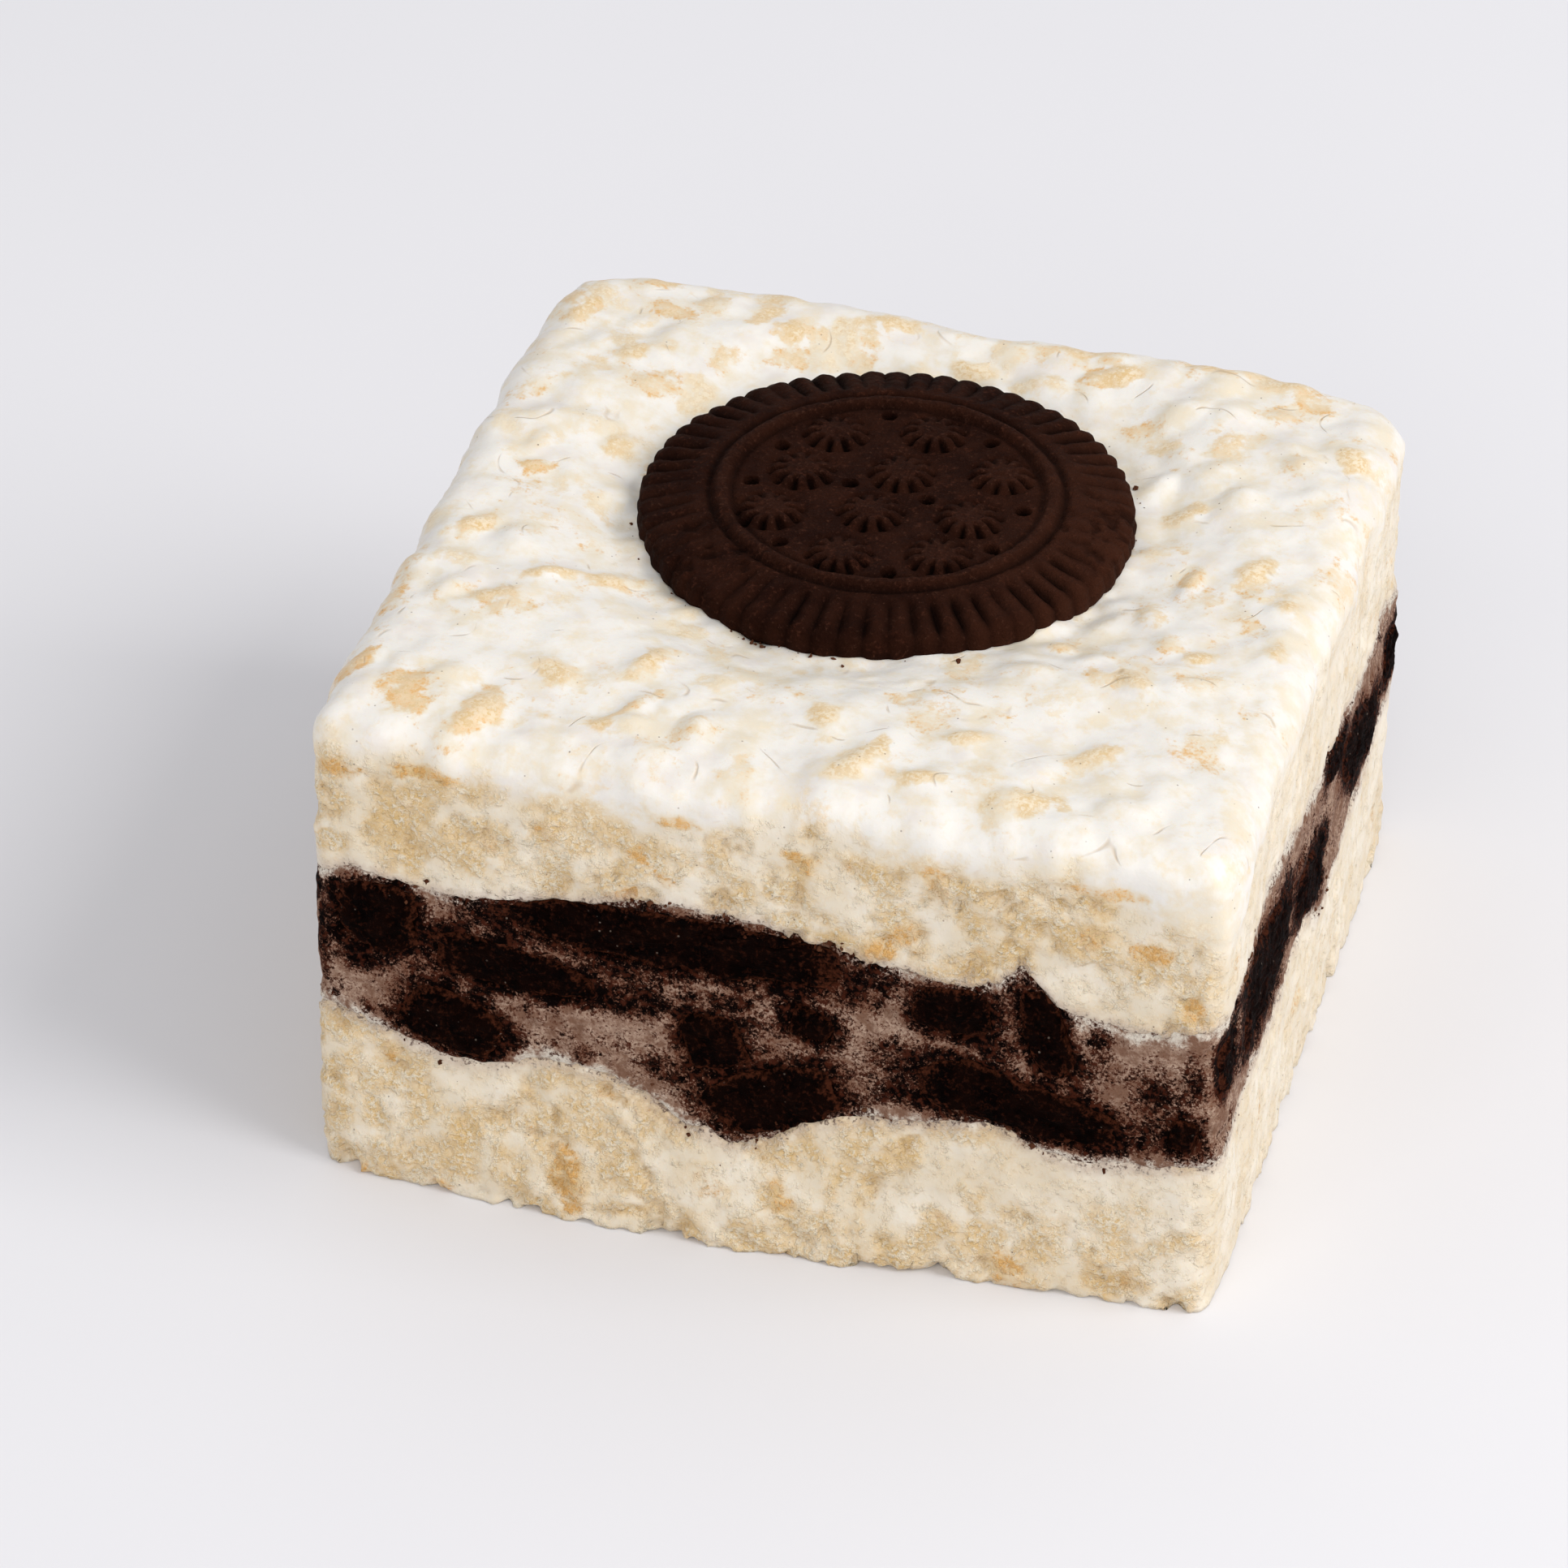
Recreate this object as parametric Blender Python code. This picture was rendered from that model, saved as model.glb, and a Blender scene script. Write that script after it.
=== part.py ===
"""A square crisped rice treat: two layers of crisped rice bound with marshmallow, a biscuit and
cream filling between them with broken biscuit pieces in it, and a round embossed wafer pressed
into the top. Metres, +Z up, origin under the middle of the block, front face towards -Y."""

import math

import bpy
import numpy as np
from mathutils import Vector
from mathutils.geometry import delaunay_2d_cdt

MM = 0.001

# Driving sizes of the block
HALF_X = 41.5 * MM
HALF_Y = 39.8 * MM
TOP_Z = 48.9 * MM
SEAM_LOW_Z = 16.2 * MM
SEAM_HIGH_Z = 31.6 * MM
EDGE_ROUND = 3.6 * MM
EDGE_ANGLES = (35, 65)
FOOT_CHAMFER = 1.2 * MM
FOOT_RAGGED = 1.0 * MM
FRONT_FOOT_BULGE = 2.8 * MM
FRONT_FOOT_BULGE_X = -8.0 * MM
FRONT_FOOT_BULGE_REACH = 28.0 * MM
FRONT_FOOT_BULGE_TOP_Z = 15.0 * MM
BACK_LEFT_LEAN = 2.2 * MM
FIT_GAP = 0.3 * MM

# Corner sharpness in plan, as superellipse exponents: a cut corner in front, a softer one behind
SHARP_FRONT = 34.0
SHARP_BACK_RIGHT = 13.0
SHARP_BACK_LEFT = 9.0

# The crisps under the coat on top, and how the top sinks towards the wafer: ranges are least, most
TOP_SINK = 0.6 * MM
BED_DISH = 1.9 * MM
BED_DISH_REACH = 11.0 * MM
CRISP_CELL = 4.3 * MM
CRISP_HALF_LENGTH = (2.3, 3.3)
CRISP_HALF_WIDTH = (1.3, 1.9)
CRISP_LIFT = (0.1, 1.5)
CRISP_FALL = 1.3

# The hollows torn into the cut sides: ranges in millimetres, least and most
HOLLOW_COUNT = 150
HOLLOW_REACH = (2.2, 4.2)
HOLLOW_DEPTH = (0.2, 0.65)

# Driving sizes of the wafer
WAFER_X = -1.3 * MM
WAFER_Y = 7.5 * MM
WAFER_R = 22.5 * MM
WAFER_UNDER_Z = 46.2 * MM
WAFER_RIM_Z = 48.9 * MM
WAFER_FACE_Z = 49.9 * MM
RIB_COUNT = 60
RIB_DEPTH = 0.35 * MM
RIB_MIDDLE_R = 20.4 * MM
RIB_MIDDLE_Z = 49.5 * MM
RIB_INNER_R = 17.0 * MM
ROSETTE_R = 2.6 * MM
ROSETTE_HEIGHT = 0.5 * MM
ROSETTE_RIM = 1.05
BUTTON_HEIGHT = 0.35
PETALS = 12
PINHOLE_R = 0.5 * MM
PINHOLE_DEPTH = 1.3 * MM
PINHOLE_SIDES = 8

# The raised ring between its two grooves: distance from the centre and lift, in millimetres
RING_PROFILE = ((16.30, -0.25), (15.42, 0.45), (14.78, 0.45), (13.90, -0.15))

# The two rings of a daisy's petals: share of its radius, lift of a petal and of a valley
PETAL_RINGS = ((0.5, 1.0, 0.2), (0.86, 0.8, 0.0))

# Resolution of the solids
RIM_POINTS = 120
BED_POINTS = 72
SURFACE_STEP = 2.03 * MM
SEAM_STEP = 10.0 * MM
STEP_JITTER = 0.2
SURFACE_MARGIN = 0.7 * MM
BED_MARGIN = 0.8 * MM
SEAM_MARGIN = 4.0 * MM
SHARP_EDGE = math.radians(40)

# Seeds of the random draws
SEAM_SEED = 3
SURFACE_SEED = 5
CRISP_SEED = 11
HOLLOW_SEED = 23
FOOT_SEED = 31

# Swells and sags of the two seams: x, y, reach and rise, in millimetres
LOW_SEAM_SWELLS = (
    (-41, -40, 5, 1.8), (-27, -40, 6, -2.2), (-3, -40, 9, -5.2), (21, -40, 3, 0.9),
    (30, -40, 5, -1.6), (41, -28, 6, 1.6), (41, -7, 5, 2.0), (41, 6, 5, -2.2),
    (41, 36, 5, 2.2), (12, 40, 9, -3.4), (-24, 40, 8, 1.6), (30, 40, 6, 1.2),
    (-41, 18, 7, -2.8), (-41, -12, 8, 1.5),
)
HIGH_SEAM_SWELLS = (
    (-37, -40, 4, 1.4), (-7, -40, 14, 3.3), (23.5, -40, 2.4, 3.0), (34, -40, 8, -1.7),
    (41, -19, 9, 3.0), (41, 21, 8, -1.8), (41, 38, 7, -2.6), (18, 40, 9, 2.4),
    (-14, 40, 7, -1.6), (-41, 24, 8, 1.6), (-41, 2, 8, 2.8), (-41, -22, 6, -1.2),
)

# Rosettes and pinholes on the wafer's face, from its centre, in millimetres
ROSETTES = (
    (-7.0, 8.2), (1.6, 10.6), (9.4, 5.4), (-8.4, 1.2), (0.5, 3.2),
    (8.2, -2.4), (-9.4, -6.0), (-0.6, -3.8), (7.0, -9.0), (-1.6, -11.2),
)
PINHOLES = (
    (-3.0, 12.3), (7.2, 10.5), (-11.1, 4.7), (12.6, 0.3), (-3.6, 0.4),
    (3.8, -0.4), (-12.3, -1.7), (11.4, -6.6), (-7.2, -10.8), (3.4, -12.8),
)

# Broken biscuit pieces that show at each side: distance along the side from its middle, height,
# half width and half height in millimetres, turn in degrees, and how much taller the right end is
FRONT_CHUNKS = (
    (-35.3, 28.3, 4.2, 4.0, -4, 0.0), (-7.8, 31.0, 17.0, 3.2, -1, 0.05),
    (-22.6, 25.1, 8.4, 2.5, -6, -0.3), (-28.3, 18.0, 5.2, 3.3, -18, -0.1),
    (-4.4, 20.8, 3.2, 3.4, 12, -0.1), (1.4, 15.7, 6.6, 3.5, 22, 0.0),
    (4.6, 24.3, 2.2, 1.6, -12, 0.0), (17.4, 28.7, 3.8, 2.8, -4, 0.1),
    (25.7, 27.9, 2.2, 5.3, 16, 0.0), (23.4, 19.7, 10.2, 3.0, -8, -0.2),
    (38.4, 19.3, 1.4, 2.0, -10, 0.0),
)
RIGHT_CHUNKS = (
    (-35.4, 25.8, 2.6, 3.2, 6, 0.0), (-20.8, 25.2, 10.0, 5.8, -6, -0.1),
    (-1.6, 21.9, 6.6, 3.8, -16, 0.0), (7.6, 28.8, 5.2, 1.9, -16, 0.0),
    (21.2, 22.2, 8.8, 3.6, -14, 0.0), (34.8, 22.6, 3.4, 2.9, -14, 0.0),
)
BACK_CHUNKS = (
    (-28.4, 24.2, 3.9, 4.0, 10, 0.1), (-15.4, 27.2, 7.4, 2.2, -4, -0.2),
    (-17.8, 21.0, 5.2, 2.3, 6, 0.1), (-2.4, 22.2, 4.4, 4.8, 16, 0.0),
    (13.2, 28.4, 8.6, 2.7, 3, 0.1), (11.8, 19.4, 5.8, 3.2, -8, -0.2),
    (29.0, 23.8, 6.0, 3.9, -7, 0.2),
)
LEFT_CHUNKS = (
    (-26.4, 24.4, 4.6, 4.1, -8, 0.0), (-13.6, 24.6, 4.8, 3.8, 6, -0.2),
    (0.0, 29.4, 6.2, 2.5, -3, 0.1), (0.6, 21.8, 6.4, 2.9, 4, -0.2),
    (14.2, 23.0, 5.0, 4.8, -6, 0.1), (26.0, 25.4, 4.4, 3.6, 8, 0.0),
)
CHUNK_POINTS = 11
CHUNK_DEPTH = 7.5 * MM
CHUNK_SQUARENESS = 3.2
CHUNK_UNEVEN = (0.88, 1.06)
CHUNK_RINGS = ((-0.5, 1.0), (1.0, 0.78))


class Shell:
    """The points and faces of one closed solid while it is put together."""

    def __init__(self):
        self.points = np.zeros((0, 3))
        self.faces = []

    def add(self, points):
        """Adds points and gives back their indices."""
        start = len(self.points)
        self.points = np.concatenate([self.points, points])
        return list(range(start, len(self.points)))

    def bridge(self, lower, upper):
        """Quads between two rings of a wall whose outside is on the right of the walk."""
        count = len(lower)
        for number in range(count):
            ahead = (number + 1) % count
            self.faces.append((lower[number], lower[ahead], upper[ahead], upper[number]))

    def cap(self, ring, turned=False):
        """One flat face within a ring, facing up unless it is turned."""
        self.faces.append(tuple(ring[::-1]) if turned else tuple(ring))

    def cover(self, rings, loose, openings=(), turned=False):
        """Triangles in plan between closed rings and over the loose points among them, facing up
        unless turned. Those with every corner on the ring of an opening are left out."""
        index = [number for group in (*rings, loose) for number in group]
        edges, start = [], 0
        for ring in rings:
            count = len(ring)
            edges += [(start + i, start + (i + 1) % count) for i in range(count)]
            start += count
        plan = [Vector(point) for point in self.points[index, :2]]
        made = delaunay_2d_cdt(plan, edges, [], 1, 1e-7)
        source = [index[min(group)] for group in made[3]]
        holes = [set(ring) for ring in openings]
        for face in made[2]:
            corners = tuple(source[i] for i in face)
            if any(hole.issuperset(corners) for hole in holes):
                continue
            self.faces.append(corners[::-1] if turned else corners)

    def build(self, name, material):
        """The object with this shape, shaded smooth but for its sharp edges."""
        mesh = bpy.data.meshes.new(name)
        mesh.from_pydata(self.points.tolist(), [], self.faces)
        mesh.validate()
        mesh.shade_smooth()
        mesh.set_sharp_from_angle(angle=SHARP_EDGE)
        mesh.materials.append(material)
        obj = bpy.data.objects.new(name, mesh)
        bpy.context.scene.collection.objects.link(obj)
        return obj


def smooth(low, high, value):
    """Zero below low, one above high, and an S curve between them."""
    share = np.clip((value - low) / (high - low), 0.0, 1.0)
    return share * share * (3.0 - 2.0 * share)


def circle(radius, height, count):
    """Points evenly spaced round the origin. Radius and height may differ from point to point."""
    turn = np.arange(count) / count * math.tau
    level = np.broadcast_to(height, count)
    return np.column_stack([radius * np.cos(turn), radius * np.sin(turn), level])


def square_walk(count):
    """Count points spaced evenly round the square from -1 to 1, counter-clockwise from the
    front left corner."""
    share = np.arange(count) / count * 4.0
    side, along = np.floor(share), share % 1.0 * 2.0 - 1.0
    across = np.choose(side.astype(int), (along, np.ones(count), -along, -np.ones(count)))
    up = np.choose(side.astype(int), (-np.ones(count), along, np.ones(count), -along))
    return across, up


def outline(height, inset=0.0, count=RIM_POINTS):
    """The block's plan outline at a height: each point of a square walk is drawn in to the
    superellipse whose exponent is high at the front corners and lower at the back ones. The front
    spreads at its foot and the back leans out at its top left."""
    across, up = square_walk(count)
    back = smooth(-0.5, 0.9, up)
    left = 1.0 - smooth(-0.5, 0.5, across)
    behind = SHARP_BACK_RIGHT + (SHARP_BACK_LEFT - SHARP_BACK_RIGHT) * left
    softened = smooth(SEAM_LOW_Z, TOP_Z, height)
    power = SHARP_FRONT + (behind - SHARP_FRONT) * back * (0.35 + 0.65 * softened)
    pull = (np.abs(across) ** power + np.abs(up) ** power) ** (-1.0 / power)
    x, y = across * pull * (HALF_X - inset), up * pull * (HALF_Y - inset)
    spread = np.exp(-(((x - FRONT_FOOT_BULGE_X) / FRONT_FOOT_BULGE_REACH) ** 2))
    bulge = FRONT_FOOT_BULGE * spread * (1.0 - smooth(0.0, FRONT_FOOT_BULGE_TOP_Z, height))
    lean = BACK_LEFT_LEAN * (1.0 - smooth(-0.6, 1.1, across)) * softened
    front = 1.0 - smooth(-0.96, -0.6, up)
    return np.stack([x, y - bulge * front + lean * smooth(0.3, 0.96, up)], 1)


def swell(x, y, bumps):
    """The sum of round swells, each a bell curve of its own reach and rise."""
    total = np.zeros(np.shape(x))
    for bump_x, bump_y, reach, rise in bumps:
        distance = np.hypot(x - bump_x * MM, y - bump_y * MM)
        total = total + rise * MM * np.exp(-((distance / (reach * MM)) ** 2))
    return total


def seam_low(x, y):
    """Height of the seam between the lower crisp layer and the filling."""
    return SEAM_LOW_Z + swell(x, y, LOW_SEAM_SWELLS)


def seam_high(x, y):
    """Height of the seam between the filling and the upper crisp layer."""
    return SEAM_HIGH_Z + swell(x, y, HIGH_SEAM_SWELLS)


def crisps_on_top():
    """The grains that lift the top surface: one in each cell of a jittered grid, as rows of
    x, y, turn, half length, half width and lift."""
    draw = np.random.default_rng(CRISP_SEED)
    columns = np.arange(-HALF_X, HALF_X, CRISP_CELL)
    rows = np.arange(-HALF_Y, HALF_Y, CRISP_CELL)
    grid_x, grid_y = np.meshgrid(columns, rows)
    count = grid_x.size
    return np.stack([
        grid_x.ravel() + draw.uniform(0.1, 0.9, count) * CRISP_CELL,
        grid_y.ravel() + draw.uniform(0.1, 0.9, count) * CRISP_CELL,
        draw.uniform(0.0, math.pi, count),
        draw.uniform(*CRISP_HALF_LENGTH, count) * MM,
        draw.uniform(*CRISP_HALF_WIDTH, count) * MM,
        draw.uniform(*CRISP_LIFT, count) * MM,
    ], 1)


def top_height(x, y):
    """The top surface: level near the edges, dished round the wafer, and lifted by each crisp as a
    dome under the marshmallow coat."""
    from_wafer = np.hypot(x - WAFER_X, y - WAFER_Y)
    dish = BED_DISH * (1.0 - smooth(WAFER_R, WAFER_R + BED_DISH_REACH, from_wafer))
    lift = np.zeros(np.shape(x))
    for crisp_x, crisp_y, turn, length, width, rise in crisps_on_top():
        along = (x - crisp_x) * math.cos(turn) + (y - crisp_y) * math.sin(turn)
        across = (y - crisp_y) * math.cos(turn) - (x - crisp_x) * math.sin(turn)
        dome = rise * np.exp(-CRISP_FALL * ((along / length) ** 2 + (across / width) ** 2))
        lift = np.maximum(lift, dome)
    return TOP_Z - TOP_SINK - dish + lift


def hollows(rim, height):
    """How far the cut side is torn inwards round one ring: shallow hollows, each a bell curve
    round its own point of the ring and its own height."""
    draw = np.random.default_rng(HOLLOW_SEED)
    depth = np.zeros(len(rim))
    for _ in range(HOLLOW_COUNT):
        middle = rim[draw.integers(len(rim))]
        level = draw.uniform(0.0, TOP_Z)
        reach = draw.uniform(*HOLLOW_REACH) * MM
        deep = draw.uniform(*HOLLOW_DEPTH) * MM
        span = np.hypot(np.linalg.norm(rim - middle, axis=1), height - level)
        depth = np.maximum(depth, deep * np.exp(-((span / reach) ** 2)))
    return depth


def wall_ring(height, inset=0.0):
    """One ring of the torn side wall, as points in space. Height may differ round the ring."""
    level = np.broadcast_to(height, RIM_POINTS)
    depth = hollows(outline(level), level)
    drawn = outline(level, inset)
    inward = -drawn / np.linalg.norm(drawn, axis=1)[:, None]
    return np.column_stack([drawn + inward * depth[:, None], level])


def seam_ring(seam, offset):
    """The wall ring that follows a seam, moved up or down by an offset. Both layers at a seam get
    the same plan points, so that their surfaces stay the fit gap apart."""
    rim = outline(SEAM_HIGH_Z)
    ring = wall_ring(seam(rim[:, 0], rim[:, 1]))
    return ring + np.array([0.0, 0.0, offset])


def between(low, high, steps):
    """Wall rings evenly spaced between two rings' heights, with both ends."""
    rise = high[:, 2] - low[:, 2]
    middle = [wall_ring(low[:, 2] + rise * step / steps) for step in range(1, steps)]
    return [low, *middle, high]


def scatter(step, seed):
    """Plan points of a triangular grid over the block, each moved a little at random."""
    draw = np.random.default_rng(seed)
    rows = np.arange(-HALF_Y, HALF_Y, step * math.sqrt(3) / 2)
    points = [
        (column + (number % 2) * step / 2, row)
        for number, row in enumerate(rows)
        for column in np.arange(-HALF_X, HALF_X, step)
    ]
    return np.array(points) + draw.uniform(-STEP_JITTER, STEP_JITTER, (len(points), 2)) * step


def inside(points, rim, clearance):
    """Which plan points lie inside the rim by more than a clearance."""
    edge = np.roll(rim, -1, axis=0) - rim
    normal = np.stack([-edge[:, 1], edge[:, 0]], 1) / np.linalg.norm(edge, axis=1)[:, None]
    depth = ((points[:, None, :] - rim[None]) * normal[None]).sum(2)
    return depth.min(1) > clearance


def seam_surface(seam, offset):
    """The loose points of a seam's surface, moved up or down by an offset."""
    plan = scatter(SEAM_STEP, SEAM_SEED)
    plan = plan[inside(plan, outline(SEAM_LOW_Z), SEAM_MARGIN)]
    return np.column_stack([plan, seam(plan[:, 0], plan[:, 1]) + offset])


def walled(wall):
    """A shell with the bands between wall rings, from the bottom up, and the rings' indices."""
    shell = Shell()
    rings = [shell.add(ring) for ring in wall]
    for lower, upper in zip(rings, rings[1:]):
        shell.bridge(lower, upper)
    return shell, rings


def slab(name, margin, steps, material):
    """A layer between the two seams, which it leaves a margin from."""
    wall = between(seam_ring(seam_low, margin), seam_ring(seam_high, -margin), steps)
    shell, rings = walled(wall)
    shell.cover([rings[0]], shell.add(seam_surface(seam_low, margin)), turned=True)
    shell.cover([rings[-1]], shell.add(seam_surface(seam_high, -margin)))
    return shell.build(name, material)


def lower_layer(material):
    """The bottom layer: a torn wall on a flat foot whose edge is ragged."""
    draw = np.random.default_rng(FOOT_SEED)
    ragged = draw.uniform(0.15, 1.0, RIM_POINTS) * FOOT_RAGGED
    seam = seam_ring(seam_low, -FIT_GAP / 2)
    shell, rings = walled([wall_ring(0.0, FOOT_CHAMFER), *between(wall_ring(ragged), seam, 4)])
    shell.cover([rings[0]], [], turned=True)
    shell.cover([rings[-1]], shell.add(seam_surface(seam_low, -FIT_GAP / 2)))
    return shell.build("lower_crisp_layer", material)


def upper_wall():
    """The upper layer's wall rings: torn from the seam to the shoulder, then rounded over to the
    crown, where the top begins."""
    crown = outline(TOP_Z, EDGE_ROUND)
    crown_z = top_height(crown[:, 0], crown[:, 1])
    shoulder = crown_z - EDGE_ROUND
    wall = between(seam_ring(seam_high, FIT_GAP / 2), wall_ring(shoulder), 4)
    for angle in np.radians(EDGE_ANGLES):
        rise = shoulder + EDGE_ROUND * math.sin(angle)
        wall.append(wall_ring(rise, EDGE_ROUND * (1 - math.cos(angle))))
    return [*wall, np.column_stack([crown, crown_z])]


def upper_layer(material):
    """The top layer: a torn wall with a rounded edge, the lumpy coated top, and the bed that the
    wafer is pressed into."""
    shell, rings = walled(upper_wall())
    crown = rings[-1]
    bed_r = WAFER_R + FIT_GAP
    edge = circle(bed_r, 0.0, BED_POINTS)[:, :2] + np.array([WAFER_X, WAFER_Y])
    bed = shell.add(np.column_stack([edge, top_height(edge[:, 0], edge[:, 1])]))
    floor = shell.add(np.column_stack([edge, np.full(BED_POINTS, WAFER_UNDER_Z - FIT_GAP)]))
    plan = scatter(SURFACE_STEP, SURFACE_SEED)
    from_wafer = np.hypot(plan[:, 0] - WAFER_X, plan[:, 1] - WAFER_Y)
    on_top = inside(plan, shell.points[crown, :2], SURFACE_MARGIN)
    plan = plan[on_top & (from_wafer > bed_r + BED_MARGIN)]
    loose = shell.add(np.column_stack([plan, top_height(plan[:, 0], plan[:, 1])]))
    shell.cover([crown, bed], loose, openings=[bed])
    shell.bridge(bed, floor)
    shell.cap(floor)
    under = shell.add(seam_surface(seam_high, FIT_GAP / 2))
    shell.cover([rings[0]], under, turned=True)
    return shell.build("upper_crisp_layer", material)


def chunk_rings(entry, side, grow):
    """A broken biscuit piece as two rings, one beyond its cut face and one deep in the filling: a
    boxy outline, uneven from point to point, that narrows a little inwards."""
    along, height, half_width, half_height, turn_degrees, taper = entry
    draw = np.random.default_rng(abs(int(along * 10)) + abs(int(height * 7)) + 100 * side)
    angle = np.arange(CHUNK_POINTS) / CHUNK_POINTS * math.tau + draw.uniform(0, 0.4)
    boxy = np.abs(np.cos(angle)) ** CHUNK_SQUARENESS + np.abs(np.sin(angle)) ** CHUNK_SQUARENESS
    pull = boxy ** (-1 / CHUNK_SQUARENESS)
    uneven = draw.uniform(*CHUNK_UNEVEN, CHUNK_POINTS)
    across = (half_width * MM * uneven + grow) * np.cos(angle) * pull
    taller = 1.0 + taper * np.cos(angle) * pull
    up = (half_height * MM * uneven * taller + grow) * np.sin(angle) * pull
    turn = math.radians(turn_degrees)
    flat = np.column_stack([
        across * math.cos(turn) - up * math.sin(turn),
        across * math.sin(turn) + up * math.cos(turn),
    ])
    depth = CHUNK_DEPTH * draw.uniform(0.7, 1.0)
    rings = []
    for share, size in CHUNK_RINGS:
        reach = share * depth + (grow if share > 0 else 0.0)
        face = np.array([along * MM, height * MM]) + flat * size
        rings.append(np.column_stack([face[:, 0], np.full(CHUNK_POINTS, reach), face[:, 1]]))
    return rings


def on_side(points, side):
    """Moves points given as distance along a side, depth into it and height to that side of the
    block: 0 front, 1 right, 2 back, 3 left."""
    along, depth, height = points.T
    x = (along, HALF_X - depth, -along, -HALF_X + depth)[side]
    y = (-HALF_Y + depth, along, HALF_Y - depth, -along)[side]
    return np.column_stack([x, y, height])


def chunk_prism(name, entry, side, grow, material):
    """The closed prism of a biscuit piece, or with grow above zero of the pocket for it."""
    shell = Shell()
    outer, inner = [shell.add(on_side(ring, side)) for ring in chunk_rings(entry, side, grow)]
    shell.cap(outer)
    shell.bridge(inner, outer)
    shell.cap(inner, turned=True)
    return shell.build(name, material)


def cut(obj, tool, operation):
    """Cuts an object with a tool, or to it. The tool itself is no part of the treat."""
    tool.hide_render = True
    tool.display_type = "WIRE"
    modifier = obj.modifiers.new(tool.name, "BOOLEAN")
    modifier.object = tool
    modifier.operation = operation
    modifier.solver = "EXACT"


def filling(cream, biscuit):
    """The filling, and every biscuit piece in it: a prism trimmed to the filling's own outline and
    seams, in a pocket that leaves the fit gap round it."""
    layer = slab("cream_filling", FIT_GAP / 2, 3, cream)
    trim = slab("trim_of_pieces", FIT_GAP, 1, biscuit)
    sides = (("front", FRONT_CHUNKS), ("right", RIGHT_CHUNKS), ("back", BACK_CHUNKS),
             ("left", LEFT_CHUNKS))
    for side, (word, entries) in enumerate(sides):
        for number, entry in enumerate(entries, 1):
            piece = chunk_prism(f"biscuit_{word}_{number}", entry, side, 0.0, biscuit)
            cut(piece, trim, "INTERSECT")
            pocket = chunk_prism(f"pocket_{word}_{number}", entry, side, FIT_GAP, biscuit)
            cut(layer, pocket, "DIFFERENCE")


def rib_rings():
    """The rings of the ribbed rim, from the underside to the face. Each rib has a point on its
    crest and one in the groove after it, drawn in at the rim and lowered on the slope."""
    count = RIB_COUNT * 2
    groove = RIB_DEPTH * (np.arange(count) % 2)
    return [
        circle(WAFER_R - groove, WAFER_UNDER_Z, count),
        circle(WAFER_R - groove, WAFER_RIM_Z - groove, count),
        circle(RIB_MIDDLE_R, RIB_MIDDLE_Z - groove, count),
        circle(RIB_INNER_R, WAFER_FACE_Z - 0.5 * groove, count),
    ]


def rosette(middle_x, middle_y):
    """Points of one daisy: a low button, twelve raised petals with a valley between each two, and
    a rim level with the face."""
    valley = np.arange(PETALS * 2) % 2 == 1
    rings = [np.array([[0.0, 0.0, BUTTON_HEIGHT * ROSETTE_HEIGHT]])]
    for reach, high, low in PETAL_RINGS:
        lift = np.where(valley, low, high) * ROSETTE_HEIGHT
        rings.append(circle(ROSETTE_R * reach, lift, PETALS * 2))
    rings.append(circle(ROSETTE_R * ROSETTE_RIM, 0.0, PETALS))
    return np.concatenate(rings) + np.array([middle_x, middle_y, WAFER_FACE_Z])


def wafer(material):
    """The wafer: a flat underside, an upright rim, a sloping band of radial ribs, a raised ring,
    and a face with daisies and pinholes."""
    shell = Shell()
    under, rim, *slope = [shell.add(ring) for ring in rib_rings()]
    hole = circle(PINHOLE_R, WAFER_FACE_Z, PINHOLE_SIDES)
    pins = [shell.add(hole + np.array([x * MM, y * MM, 0.0])) for x, y in PINHOLES]
    loose = []
    for radius, lift in RING_PROFILE:
        loose += shell.add(circle(radius * MM, WAFER_FACE_Z + lift * MM, RIB_COUNT))
    for middle_x, middle_y in ROSETTES:
        loose += shell.add(rosette(middle_x * MM, middle_y * MM))
    shell.cap(under, turned=True)
    shell.bridge(under, rim)
    shell.cover([rim, *slope, *pins], loose, openings=pins)
    for pin in pins:
        floor = shell.add(shell.points[pin] - np.array([0.0, 0.0, PINHOLE_DEPTH]))
        shell.bridge(pin, floor)
        shell.cap(floor)
    made = shell.build("wafer", material)
    made.location = (WAFER_X, WAFER_Y, 0.0)
    return made


def food(name, colour, roughness):
    """A matt material of one colour."""
    made = bpy.data.materials.new(name)
    made.use_nodes = True
    shader = made.node_tree.nodes["Principled BSDF"]
    shader.inputs["Base Color"].default_value = (*colour, 1.0)
    shader.inputs["Roughness"].default_value = roughness
    shader.inputs["Metallic"].default_value = 0.0
    return made


def build():
    """Clears the scene and builds the treat from the bottom up."""
    for obj in list(bpy.data.objects):
        bpy.data.objects.remove(obj)
    crisp = food("crisp_and_marshmallow", (0.80, 0.70, 0.52), 0.5)
    cream = food("biscuit_cream", (0.30, 0.24, 0.23), 0.6)
    biscuit = food("dark_biscuit", (0.035, 0.014, 0.010), 0.8)
    lower_layer(crisp)
    filling(cream, biscuit)
    upper_layer(crisp)
    wafer(biscuit)


build()
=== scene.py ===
"""A square crisped rice treat, cut from a tray: two layers of puffed rice bound with marshmallow,
biscuits and cream between them, and an embossed chocolate wafer pressed into the top."""

import itertools
import math

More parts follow.
